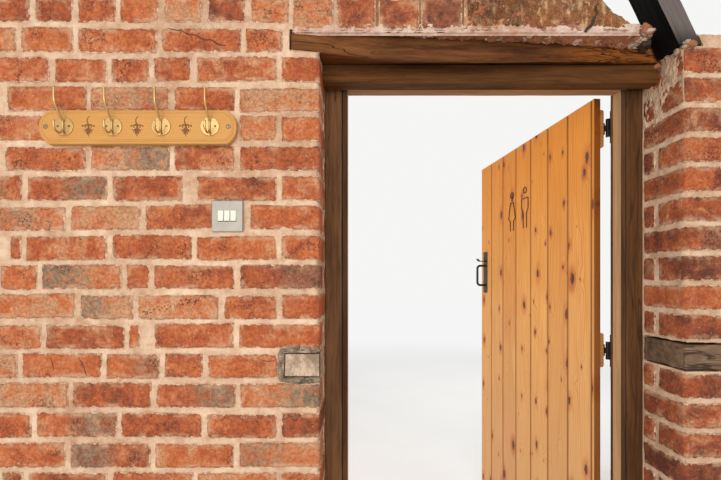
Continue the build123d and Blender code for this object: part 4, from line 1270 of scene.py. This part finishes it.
class WALLBAY_OT_door_frame(bpy.types.Operator):
    """Finish the posts, head, stops and threshold"""

    bl_idname = "wall_bay.door_frame"
    bl_label = "Door frame"

    def execute(self, context):
        # The left post takes a lighter copy of the oak, painted light in place of the light that
        # falls on it.
        for node, kind in (("frame_post_left", "oak_left"), ("frame_post_right", "oak_upright")):
            hewn(
                node, f"{node}_worn", MATERIALS[kind], "stained_oak", step=(0.005, 0.006, 0.012),
                depth=0.0012, coarse=44, edge=0.0025, grain=(1, 1, 0.1),
            )
        hewn(
            "frame_head", "frame_head_worn", MATERIALS["oak_level"], "stained_oak",
            step=(0.012, 0.006, 0.005), depth=0.0012, coarse=44, edge=0.0025, grain=(0.1, 1, 1),
        )
        for node in ("stop_left", "stop_right"):
            dressed(node, MATERIALS["stop_upright"], "wall", edge=0.0016)
        dressed("stop_head", MATERIALS["stop_level"], "wall", edge=0.0016)
        dressed("door_threshold", MATERIALS["oak_level"], "wall", edge=0.003)
        return {"FINISHED"}


class WALLBAY_OT_door(bpy.types.Operator):
    """Finish the boards, the ledges and the latch's backing block"""

    bl_idname = "wall_bay.door"
    bl_label = "Boarded door"

    def execute(self, context):
        dressed("door_boards", MATERIALS["door_pine"], "door", edge=0.0008)
        for place in ("top", "middle", "bottom"):
            dressed(f"ledge_{place}", MATERIALS["ledge_pine"], "door", edge=0.0012)
        dressed("latch_backing_block", MATERIALS["ledge_pine"], "door", edge=0.002)
        return {"FINISHED"}


def studs(name, places, radius, material, body):
    """Low domed heads, each at a place and facing outwards."""
    bm = bmesh.new()
    for place, outward in places:
        turn = Vector(outward).to_track_quat("Z", "Y").to_matrix().to_4x4()
        bmesh.ops.create_uvsphere(
            bm, u_segments=14, v_segments=8, radius=radius,
            matrix=Matrix.Translation(place) @ turn @ Matrix.Diagonal((1, 1, 0.42, 1)),
        )
    return add_rounded(name, bm, material, body)


def on_open_door(x, y, z, outward):
    """A place on the closed door and the way it faces, carried round to where the door stands."""
    return TO_OPEN @ Vector((x, y, z)), TO_OPEN.to_3x3() @ Vector((0, outward, 0))


def plate_back(node, matrix, low_x, high_x):
    """How far back a plate reaches between two places across it."""
    points = [matrix @ vertex.co for vertex in NODES[node].data.vertices]
    return max(point.y for point in points if low_x < point.x < high_x)


class WALLBAY_OT_ironwork(bpy.types.Operator):
    """Finish the hinges, the latch and the wire figures"""

    bl_idname = "wall_bay.ironwork"
    bl_label = "Ironwork"

    def execute(self, context):
        iron = MATERIALS["iron"]
        for place in ("top", "middle", "bottom"):
            dressed(f"hinge_strap_{place}", iron, "door")
            dressed(f"hinge_plate_{place}", iron, "wall")
        for node in ("latch_handle", "latch_staple", "latch_pivot"):
            dressed(node, iron, "door", edge=0.0005)
        for node in ("sign_woman", "sign_man"):
            dressed(node, iron, "door", edge=0.0002)
        dressed("latch_keep", iron, "wall")
        dressed("latch_bar", iron, "latch_bar")
        dressed("thumb_piece", iron, "thumb_piece")
        self.hinge_screws(iron)
        self.ledge_nails(context, iron)
        self.latch_screws(iron)
        return {"FINISHED"}

    def hinge_screws(self, iron):
        """Screws through the straps into the door and the plates into the post."""
        for place in ("top", "middle", "bottom"):
            strap = f"hinge_strap_{place}"
            low, high = closed_box(strap)
            middle = (low.z + high.z) / 2
            back = plate_back(strap, TO_CLOSED, low.x, low.x + 0.3) - SEATED
            heads = [
                on_open_door(low.x + reach, back, middle, 1) for reach in (0.035, 0.13, 0.225, 0.32)
            ]
            studs(f"strap_screws_{place}", heads, 0.0046, iron, "door")
            plate = f"hinge_plate_{place}"
            low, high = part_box(plate)
            back = plate_back(plate, Matrix(), high.x - 0.012, high.x + 0.001) - SEATED
            heads = [
                (Vector((high.x - 0.011, back, height)), (0, 1, 0))
                for height in (low.z + 0.014, (low.z + high.z) / 2, high.z - 0.014)
            ]
            studs(f"plate_screws_{place}", heads, 0.0042, iron, "wall")

    def ledge_nails(self, context, iron):
        """Two clenched nails through each board at each ledge, one high and one low."""
        timber = context.scene.doorway.timber
        heads = []
        hinge_edge = closed_box("door_boards")[1].x
        for place in ("top", "middle", "bottom"):
            low, high = closed_box(f"ledge_{place}")
            centre = hinge_edge - timber.first_joint - timber.board_pitch / 2
            while centre > low.x + 0.02:
                for side, height in ((-1, low.z + 0.024), (1, high.z - 0.024)):
                    heads.append(on_open_door(centre + side * 0.03, high.y - SEATED, height, 1))
                centre -= timber.board_pitch
        studs("ledge_nails", heads, 0.0032, iron, "door")

    def latch_screws(self, iron):
        """A screw at the top and the foot of the latch plate."""
        low, high = closed_box("latch_handle")
        points = [TO_CLOSED @ vertex.co for vertex in NODES["latch_handle"].data.vertices]
        face = min(point.y for point in points if point.z > high.z - 0.006) + SEATED
        middle = (low.x + high.x) / 2
        heights = (low.z + 0.012, high.z - 0.012)
        heads = [on_open_door(middle, face, height, -1) for height in heights]
        studs("latch_screws", heads, 0.0038, iron, "door")


def drawn_lines(name, strokes, centre, material, bend="AUTO"):
    """Lines of changing width drawn on a face that looks to the front. Lengths in millimetres."""
    curve = bpy.data.curves.new(name, "CURVE")
    curve.dimensions = "3D"
    curve.bevel_depth = 0.0019
    curve.bevel_resolution = 2
    curve.resolution_u = 8
    curve.use_fill_caps = True
    for points in strokes:
        spline = curve.splines.new("BEZIER")
        spline.bezier_points.add(len(points) - 1)
        for place, (x, z, width) in zip(spline.bezier_points, points):
            place.co = (x / 1000, 0, z / 1000)
            place.radius = width
            place.handle_left_type = bend
            place.handle_right_type = bend
    holder = bpy.data.objects.new(name, curve)
    bpy.context.scene.collection.objects.link(holder)
    graph = bpy.context.evaluated_depsgraph_get()
    mesh = bpy.data.meshes.new_from_object(holder.evaluated_get(graph), depsgraph=graph)
    bpy.data.objects.remove(holder)
    for vertex in mesh.vertices:
        vertex.co = centre + vertex.co * Vector((1, 0.35, 1))
    return add_piece(name, mesh, material, "wall")


def flourish_strokes():
    """A stem that curls over at the top, with leaves on both sides and a pointed tail."""
    stem = (
        (4, 29, 0.4), (-2, 22, 0.7), (-3, 13, 0.8), (1, 4, 1.0), (0, -7, 1.8), (-1, -15, 1.3),
        (1, -28, 0.4),
    )
    strokes = [stem]
    for side in (-1, 1):
        strokes.append(((0, 1, 1.0), (side * 5, 5, 1.1), (side * 9, 2, 1.0), (side * 7, -3, 0.7)))
        strokes.append(((side * 12, 4, 0.5), (side * 15, 2, 1.2), (side * 17.5, -1, 0.5)))
        strokes.append(((0, -7, 1.5), (side * 6, -9, 1.4), (side * 10, -16, 0.5)))
        strokes.append(((0, -10, 1.4), (side * 4, -16, 1.1), (side * 4, -22, 0.4)))
        strokes.append(((side * 12, -8, 0.8), (side * 13.5, -9, 0.8)))
    return strokes


def screw(name, place, radius, material, turn=0.4):
    """A slotted screw head that faces the front, tapered outwards."""
    bm = bmesh.new()
    bmesh.ops.create_cone(
        bm, cap_ends=True, segments=28, radius1=radius, radius2=radius * 0.72,
        depth=radius * 0.34,
    )
    for offset in (-1, 1):
        parts = bm.verts[:] + bm.edges[:] + bm.faces[:]
        bmesh.ops.bisect_plane(
            bm, geom=parts, dist=1e-6, plane_co=(offset * radius * 0.11, 0, 0), plane_no=(1, 0, 0),
        )
    for vertex in bm.verts:
        in_slot = abs(vertex.co.x) < radius * 0.12 and vertex.co.z > 0
        if in_slot:
            vertex.co.z -= radius * 0.30
    aim_out = Vector((0, -1, 0)).to_track_quat("Z", "Y").to_matrix()
    bmesh.ops.rotate(bm, verts=bm.verts, matrix=Matrix.Rotation(turn, 3, "Z"))
    bmesh.ops.rotate(bm, verts=bm.verts, matrix=aim_out)
    bmesh.ops.translate(bm, verts=bm.verts, vec=Vector(place))
    return add_piece(name, as_mesh(name, bm), material, "wall")


class WALLBAY_OT_coat_rack(bpy.types.Operator):
    """Finish the rack's board and hooks, and burn a flourish between the hooks"""

    bl_idname = "wall_bay.coat_rack"
    bl_label = "Coat rack"

    def execute(self, context):
        dressed("coat_rack_board", MATERIALS["rack_pine"], "wall", edge=0.0004)
        roses = []
        for number in range(1, 5):
            node = f"coat_hook_{number}"
            dressed(node, MATERIALS["brass"], "wall", edge=0.0003)
            low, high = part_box(node)
            roses.append(Vector(((low.x + high.x) / 2, RACK_LOW.y, (RACK_LOW.z + RACK_HIGH.z) / 2)))
        for number, (one, other) in enumerate(zip(roses, roses[1:]), start=1):
            middle = (one + other) / 2
            drawn_lines(f"flourish_{number}", flourish_strokes(), middle, MATERIALS["scorched"])
        self.hook_screws(roses)
        self.board_screws(roses[0].z)
        middle = (RACK_LOW + RACK_HIGH) / 2
        middle.y = RACK_LOW.y
        edge = [self.routed_line(middle)]
        drawn_lines("routed_line", edge, middle, MATERIALS["routed"], bend="VECTOR")
        return {"FINISHED"}

    def hook_screws(self, roses):
        """Two small screws through the rose of each hook."""
        for number, rose in enumerate(roses, start=1):
            for side in (-1, 1):
                place = rose + Vector((side * 0.0155, -0.0034, 0))
                screw(
                    f"rose_screw_{number}_{side}", place, 0.0034, MATERIALS["brass_dark"],
                    turn=0.9 * number + side,
                )

    def board_screws(self, height):
        """A screw at each end of the board, in a bored ring."""
        from_end = 0.0215
        for side, x in ((-1, RACK_LOW.x + from_end), (1, RACK_HIGH.x - from_end)):
            place = Vector((x, RACK_LOW.y, height))
            ring = [
                (6.6 * math.cos(turn), 6.6 * math.sin(turn), 0.3)
                for turn in (2 * math.pi * step / 12 for step in range(13))
            ]
            drawn_lines(f"screw_ring_{side}", [ring], place, MATERIALS["scorched"], bend="VECTOR")
            screw(
                f"rack_screw_{side}", place - Vector((0, 0.0006, 0)), 0.0056,
                MATERIALS["iron_pale"],
            )

    def routed_line(self, middle):
        """Points round the rack's front face, a little inside its edge."""
        bm = node_copy("coat_rack_board")
        forward = [face for face in bm.faces if face.normal.y < -0.99]
        front = max(forward, key=lambda face: face.calc_area())
        points = [vertex.co - middle for vertex in front.verts]
        bm.free()
        line = []
        inside = 0.0035
        for point in points + points[:1]:
            x = point.x - math.copysign(inside, point.x)
            z = point.z - inside * point.z / 0.047
            line.append((x * 1000, z * 1000, 0.32))
        return line


def noise_key(seed):
    """A place in the noise of its own for each seed."""
    return Vector((seed * 3.7, seed * 1.9, seed * 5.3))


def lump(name, place, size, material, seed, turn=0.0, rough=0.3, square=0.75, slot="brick"):
    """A rough piece of mortar, broken brick or rotten wood. A lower square is blockier."""
    bm = bmesh.new()
    bmesh.ops.create_icosphere(bm, subdivisions=3, radius=1)
    key = noise_key(seed)
    spin = Matrix.Rotation(turn, 3, "Y")
    for vertex in bm.verts:
        point = vertex.co.copy()
        reach = 1 + rough * noise.noise(point * 1.6 + key)
        reach += 0.5 * rough * noise.noise(point * 5 - key)
        blocky = Vector(math.copysign(abs(c) ** square, c) for c in point)
        vertex.co = Vector(place) + spin @ (blocky * reach * Vector(size))
    return add_rounded(name, bm, material, "wall")


def skim(
    name, first, second, cells, swell, coarse, seed, material, spread, rising=0.0, grain=(1, 1, 1)
):
    """A ragged skin of mortar on the patch between two lines. Its low places sink out of sight. A
    greater spread covers more of the patch, and a rising one more of it towards the second line."""
    bm = bmesh.new()
    first = [Vector(corner) for corner in first]
    second = [Vector(corner) for corner in second]
    outward = (first[1] - first[0]).cross(second[0] - first[0]).normalized()
    key = noise_key(seed)
    across, along = cells
    rows = []
    for row in range(along + 1):
        up = row / along
        verts = []
        for column in range(across + 1):
            side = column / across
            point = first[0].lerp(first[1], side).lerp(second[0].lerp(second[1], side), up)
            place = point * Vector(grain) * coarse
            swelling = spread + noise.noise(place + key) + 0.65 * noise.noise(place * 2.7 - key)
            swelling += 0.45 * noise.noise(place * 7.1 + key) + rising * (up - 0.6)
            edge = min(column, across - column, row, along - row) / 3
            swelling = min(swelling, edge * 1.5 - 1.0 + spread) if edge < 1 else swelling
            verts.append(bm.verts.new(point + outward * swell * max(swelling, -1.0)))
        rows.append(verts)
    for lower, upper in zip(rows, rows[1:]):
        for column in range(across):
            bm.faces.new((lower[column], lower[column + 1], upper[column + 1], upper[column]))
    return add_rounded(name, bm, material, "wall")


class WALLBAY_OT_rubble(bpy.types.Operator):
    """Smear lime along the lintel and heap rubble round the strut's foot"""

    bl_idname = "wall_bay.rubble"
    bl_label = "Lime and rubble"

    def execute(self, context):
        self.fillet()
        self.lintel_skin()
        self.heap(random.Random(71))
        self.reveal_patch()
        return {"FINISHED"}

    def fillet(self):
        """A ragged run of lime under the first course over the doorway, back to the lintel."""
        left, right = LINTEL_LOW.x + 0.004, RAKE_FOOT
        skew = 0.096
        recess = skew * (right - left) / (LINTEL_HIGH.x - LINTEL_LOW.x)
        level = UPPER_LOW.z
        front = WALL_FRONT + 0.0022
        for number, kind in enumerate(("lime", "brick_dust", "lime")):
            skim(
                f"lime_{number}",
                ((left, WALL_FRONT + 0.001, level), (right, WALL_FRONT + 0.001, level)),
                ((left, WALL_FRONT + 0.022, level), (right, WALL_FRONT + recess + 0.012, level)),
                (260, 18), 0.0078 + 0.0008 * number, 46 - 8 * number, 3 + number, MATERIALS[kind],
                spread=(1.0, -0.12, 0.42)[number],
            )
        skim(
            "lime_edge",
            ((left, front, level - 0.012), (right, front, level - 0.012)),
            ((left, front, level + 0.022), (right, front, level + 0.022)),
            (320, 18), 0.0060, 34, 9, MATERIALS["lime"], spread=-0.12, rising=-1.0,
        )

    def lintel_skin(self):
        """A brown skin over the bricks by the rake, with the crack that runs down through it."""
        left = -0.10
        foot, head = UPPER_LOW.z + 0.010, UPPER_LOW.z + 0.16
        skim(
            "brown_skin",
            ((left, FACE_LEVEL, foot), (RAKE_FOOT - 0.045, FACE_LEVEL, foot)),
            ((left, FACE_LEVEL, head), (RAKE_FOOT - 0.17, FACE_LEVEL, head)),
            (220, 100), 0.0048, 44, 33, MATERIALS["brown_skin"], spread=0.10,
        )
        crack = (
            (22, 74, 1.2), (16, 58, 2.4), (19, 44, 2.2), (10, 30, 2.6), (6, 16, 2.4),
            (-8, 3, 2.2), (-14, -6, 1.4),
        )
        foot = Vector((RAKE_FOOT - 0.145, WALL_FRONT + 0.0006, UPPER_LOW.z))
        drawn_lines("end_crack", [crack], foot, MATERIALS["crack"])

    def heap(self, chance):
        """Broken mortar and brick on the pier and at the lintel's right end."""
        for number in range(40):
            x = chance.uniform(STRUT_RIGHT, PIER_HIGH.x - 0.02)
            size = chance.uniform(0.006, 0.015)
            kind = "brick_dust" if chance.random() < 0.18 else "rough_lime"
            y = WALL_FRONT + chance.uniform(0.004, 0.14)
            place = (x, y, PIER_SHELF + chance.uniform(-0.004, 0.020))
            lump(
                f"rubble_{number:02d}", place, (size * 1.4, size, size * 0.8), MATERIALS[kind],
                40 + number, turn=chance.uniform(-0.6, 0.6),
            )
        for number in range(34):
            deep = chance.uniform(-0.010, 0.13)
            size = chance.uniform(0.004, 0.010)
            place = (
                PIER_LOW.x + chance.uniform(-0.002, 0.020), WALL_FRONT + deep,
                PIER_SHELF + chance.uniform(-0.012, 0.008),
            )
            kind = "brick_dust" if chance.random() < 0.2 else "rough_lime"
            lump(
                f"edge_{number:02d}", place, (size * 1.3, size * 1.3, size), MATERIALS[kind],
                150 + number,
            )
        chunk = Vector((UPPER_HIGH.x + 0.026, WALL_FRONT + 0.050, UPPER_LOW.z + 0.018))
        lump(
            "brick_chunk", chunk, (0.020, 0.024, 0.013), MATERIALS["brick_dust"], 81, turn=0.35,
            square=0.45, rough=0.5,
        )
        for number in range(12):
            x, y = chance.uniform(0.010, 0.030), chance.uniform(0.0, 0.05)
            place = chunk + Vector((x, y, chance.uniform(-0.030, -0.010)))
            size = chance.uniform(0.006, 0.010)
            lump(
                f"rot_{number:02d}", place, (size * 1.5, size, size * 0.8), MATERIALS["crack"],
                300 + number, rough=0.55, slot="rough_oak",
            )
        for number in range(30):
            x, y = chance.uniform(-0.060, 0.012), chance.uniform(-0.030, 0.05)
            place = chunk + Vector((x, y, chance.uniform(-0.024, -0.006)))
            size = chance.uniform(0.004, 0.011)
            kind = chance.choice(("lime", "rough_lime", "brick_dust"))
            lump(
                f"chip_{number:02d}", place, (size * 1.6, size, size * 0.7), MATERIALS[kind],
                90 + number, rough=0.55, turn=chance.uniform(-0.5, 0.5),
            )

    def reveal_patch(self):
        """Coarse mortar dragged down the pier's reveal beside the frame."""
        back = POST_FRONT + 0.004
        head = PIER_HIGH.z - 0.030
        face = PIER_LOW.x + 0.0008
        skim(
            "dragged_mortar",
            ((face, back, head - 0.20), (face, WALL_FRONT + 0.004, head - 0.16)),
            ((face, back, head), (face, WALL_FRONT + 0.004, head)),
            (100, 120), 0.0050, 30, 21, MATERIALS["straw_mortar"], spread=-0.02, rising=0.9,
            grain=(1, 1, 0.5),
        )


class WALLBAY_OT_switch(bpy.types.Operator):
    """Finish the switch plate, its box and its rockers"""

    bl_idname = "wall_bay.switch"
    bl_label = "Switch"

    def execute(self, context):
        dressed("switch_plate", MATERIALS["steel"], "wall", edge=0.0004)
        dressed("switch_back_box", MATERIALS["steel"], "wall", edge=0.0004)
        for number, name in enumerate(("left", "middle", "right"), start=1):
            dressed(
                f"switch_rocker_{number}", MATERIALS["plastic"], f"rocker_{name}",
                edge=0.0004,
            )
        return {"FINISHED"}


def aim(thing, target):
    """Turn a lamp or camera to look at a point."""
    direction = Vector(target) - thing.location
    thing.rotation_euler = direction.to_track_quat("-Z", "Y").to_euler()


def add_lamp(name, place, target, power, width, height):
    """A soft rectangular lamp that looks at a point."""
    lamp = bpy.data.lights.new(name, "AREA")
    lamp.shape = "RECTANGLE"
    lamp.size = width
    lamp.size_y = height
    lamp.energy = power
    holder = bpy.data.objects.new(name, lamp)
    bpy.context.scene.collection.objects.link(holder)
    holder.location = place
    aim(holder, target)


class WALLBAY_OT_stage(bpy.types.Operator):
    """Set the pale floor, the soft lamps and the camera"""

    bl_idname = "wall_bay.stage"
    bl_label = "Stage"

    def execute(self, context):
        look = context.scene.doorway.stage
        self.lay_floor(context, look)
        self.light_world(context)
        add_lamp("key_lamp", (-0.9, -3.3, 1.7), (-0.6, 0, 0.9), 66, 2.6, 2.0)
        add_lamp("door_lamp", (-2.2, 0.2, 1.35), (0.45, 0.22, 1.3), 34, 0.18, 1.7)
        add_lamp("back_lamp", (1.6, 3.6, 3.0), (0, 0, 1.1), 60, 2.6, 2.2)
        self.set_camera(context, look)
        context.scene.view_settings.view_transform = "Standard"
        return {"FINISHED"}

    def lay_floor(self, context, look):
        """A pale floor that fades into the pale room at a distance."""
        bm = bmesh.new()
        bmesh.ops.create_grid(bm, x_segments=2, y_segments=2, size=30)
        mesh = as_mesh("floor", bm)
        floor = bpy.data.objects.new("floor", mesh)
        context.scene.collection.objects.link(floor)
        ground = Finish("floor_paint")
        near, far = 1.2, 7.0
        haze = ground.clouds(ground.position, 1.5, 3)
        darker = [0.97 * value for value in look.ground]
        colour = ground.mix(ground.range(haze, 0.3, 0.7), look.ground, darker)
        away = ground.node("VectorMath", operation="LENGTH")
        ground.feed(away.inputs[0], ground.position)
        colour = ground.mix(ground.range(away.outputs["Value"], near, far), colour, (0, 0, 0))
        glow = ground.range(away.outputs["Value"], near, far, 0.0, 0.915)
        ground.feed(ground.surface.inputs["Emission Strength"], glow)
        ground.feed(ground.surface.inputs["Specular IOR Level"], 0.0)
        mesh.materials.append(ground.done(colour, 0.9))

    def set_camera(self, context, look):
        """A level camera, its picture shifted upwards."""
        camera = bpy.data.cameras.new("camera")
        camera.sensor_width = 36
        camera.lens = look.focal
        camera.shift_y = look.rise
        holder = bpy.data.objects.new("camera", camera)
        context.scene.collection.objects.link(holder)
        holder.location = look.camera_place
        aim(holder, holder.location + Vector((0, 1, 0)))
        context.scene.camera = holder

    def light_world(self, context):
        """A pale backdrop for the camera and for reflections, and a dimmer light on the object."""
        world = bpy.data.worlds.new("pale_room")
        world.use_nodes = True
        context.scene.world = world
        tree = world.node_tree
        tree.nodes.clear()
        output = tree.nodes.new("ShaderNodeOutputWorld")
        path = tree.nodes.new("ShaderNodeLightPath")
        seen = tree.nodes.new("ShaderNodeBackground")
        seen.inputs["Color"].default_value = (0.92, 0.92, 0.91, 1)
        lit = tree.nodes.new("ShaderNodeBackground")
        lit.inputs["Color"].default_value = (1.0, 0.985, 0.965, 1)
        lit.inputs["Strength"].default_value = 0.72
        either = tree.nodes.new("ShaderNodeMath")
        either.operation = "MAXIMUM"
        both = tree.nodes.new("ShaderNodeMath")
        both.operation = "MAXIMUM"
        mixed = tree.nodes.new("ShaderNodeMixShader")
        links = tree.links
        links.new(path.outputs["Is Camera Ray"], either.inputs[0])
        links.new(path.outputs["Is Glossy Ray"], either.inputs[1])
        links.new(either.outputs[0], both.inputs[0])
        links.new(path.outputs["Is Transmission Ray"], both.inputs[1])
        links.new(both.outputs[0], mixed.inputs[0])
        links.new(lit.outputs[0], mixed.inputs[1])
        links.new(seen.outputs[0], mixed.inputs[2])
        links.new(mixed.outputs[0], output.inputs["Surface"])


class WALLBAY_PT_panel(bpy.types.Panel):
    """Lists the doorway's pieces in the sidebar"""

    bl_label = "Doorway"
    bl_idname = "WALLBAY_PT_panel"
    bl_space_type = "VIEW_3D"
    bl_region_type = "UI"
    bl_category = "Doorway"

    def draw(self, context):
        settings = context.scene.doorway
        for group in (settings.brickwork, settings.timber, settings.metal, settings.stage):
            box = self.layout.box()
            for name in group.__annotations__:
                box.prop(group, name)
        for operator in OPERATORS:
            self.layout.operator(operator.bl_idname)


MATERIALS = {}

OPERATORS = (
    WALLBAY_OT_left_wall, WALLBAY_OT_upper_wall, WALLBAY_OT_pier, WALLBAY_OT_pads,
    WALLBAY_OT_lintels, WALLBAY_OT_door_frame, WALLBAY_OT_door, WALLBAY_OT_ironwork,
    WALLBAY_OT_coat_rack, WALLBAY_OT_switch, WALLBAY_OT_rubble, WALLBAY_OT_stage,
)
CLASSES = (
    BrickworkSettings, TimberSettings, MetalSettings, StageSettings, DoorwaySettings,
    *OPERATORS, WALLBAY_PT_panel,
)


def make_materials(settings):
    """Every finish, under the name that the operators ask for."""
    bricks = settings.brickwork
    timber = settings.timber
    metal = settings.metal
    stop_colours = ((0.040, 0.018, 0.008), (0.115, 0.055, 0.024))
    lean = (0, math.radians(90) + STRUT_LEAN, 0)
    MATERIALS.update(
        brick=brick_finish(bricks),
        mortar=mortar_finish("lime_mortar", bricks.mortar, bricks.mortar_dirt),
        brown_mortar=mortar_finish(
            "brown_mortar", (0.34, 0.165, 0.070), (0.16, 0.064, 0.022), dust_share=0.8,
            dirt_share=0.85, pale_share=0.15, beside=(bricks.mortar, bricks.mortar_dirt),
        ),
        brown_skin=mortar_finish(
            "brown_skin", (0.27, 0.098, 0.027), (0.070, 0.021, 0.006), dust_share=0.7,
            dirt_share=1.0, pale_share=0.30, dripped=(0.56, 0.36, 0.19),
        ),
        lime=mortar_finish("white_lime", (0.72, 0.55, 0.44), (0.42, 0.22, 0.14), dust_share=0.9),
        straw_mortar=mortar_finish(
            "straw_mortar", (0.66, 0.46, 0.31), (0.30, 0.165, 0.09), dirt_share=0.9,
        ),
        rough_lime=mortar_finish(
            "rough_lime", (0.52, 0.40, 0.28), (0.16, 0.095, 0.055), dirt_share=0.9,
        ),
        brick_dust=mortar_finish(
            "broken_brick", (0.42, 0.160, 0.070), (0.22, 0.070, 0.030), dirt_share=0.9,
        ),
        pad=pad_finish(),
        pad_dark=grain_finish(
            "pad_dark", (0.09, 0.05, 0.028), (0.24, 0.145, 0.085), LEVEL, along=0.2, cracks=0.8,
        ),
        cement=cement_finish(),
        lintel=grain_finish(
            "rough_oak", timber.lintel_dark, timber.lintel_light, LEVEL, cracks=0.95,
            decay=(0.04, 0.30, (0.32, 0.092, 0.012)),
        ),
        oak_level=grain_finish("oak_level", (0.045, 0.0165, 0.0040), (0.168, 0.063, 0.014), LEVEL),
        # A lighter copy of the upright oak for the left post: painted light, standing in for light
        # it lacks.
        oak_left=grain_finish("oak_left", (0.066, 0.030, 0.012), (0.228, 0.104, 0.042), UPRIGHT),
        oak_upright=grain_finish("oak_upright", timber.oak_dark, timber.oak_light, UPRIGHT),
        # The stops' inner faces are rubbed bare and also painted lighter as lit faces.
        stop_upright=grain_finish(
            "stop_upright", *stop_colours, UPRIGHT, cracks=0.2,
            worn=("X", STOP_LOW.x, (0.43, 0.235, 0.11)),
        ),
        stop_level=grain_finish(
            "stop_level", *stop_colours, LEVEL, cracks=0.2,
            worn=("Z", STOP_HEAD_FOOT, (0.36, 0.18, 0.08)),
        ),
        black_timber=tarred_finish(lean),
        door_pine=pine_finish("door_pine", timber, door=True),
        ledge_pine=pine_finish("ledge_pine", timber, turn=UPRIGHT),
        rack_pine=pine_finish(
            "rack_pine", timber, turn=UPRIGHT, knots=False, pitch=0.006, depth=0.35, tint=True,
        ),
        iron=iron_finish(metal),
        brass=brass_finish("hook_brass", metal.brass, (0.50, 0.36, 0.15)),
        brass_dark=brass_finish("old_brass", (0.20, 0.12, 0.045), (0.10, 0.06, 0.025)),
        steel=steel_finish(metal),
        plastic=plastic_finish(),
        scorched=scorched_finish("burnt_line", (0.13, 0.042, 0.014), (0.26, 0.10, 0.035)),
        routed=scorched_finish("routed_line", (0.34, 0.15, 0.035), (0.44, 0.20, 0.055)),
        scar=scorched_finish("brick_scar", (0.060, 0.020, 0.012), (0.150, 0.050, 0.026)),
        crack=scorched_finish("open_crack", (0.020, 0.010, 0.006), (0.060, 0.028, 0.014)),
        iron_pale=brass_finish("old_screw", (0.30, 0.28, 0.24), (0.14, 0.12, 0.09)),
    )


def register():
    for made in CLASSES:
        bpy.utils.register_class(made)
    bpy.types.Scene.doorway = bpy.props.PointerProperty(type=DoorwaySettings)


def unregister():
    del bpy.types.Scene.doorway
    for made in reversed(CLASSES):
        bpy.utils.unregister_class(made)


def main():
    register()
    make_materials(bpy.context.scene.doorway)
    steps = bpy.ops.wall_bay
    steps.left_wall()
    steps.upper_wall()
    steps.pier()
    steps.pads()
    steps.lintels()
    steps.door_frame()
    steps.door()
    steps.ironwork()
    steps.coat_rack()
    steps.switch()
    steps.rubble()
    steps.stage()


if __name__ == "__main__":
    main()
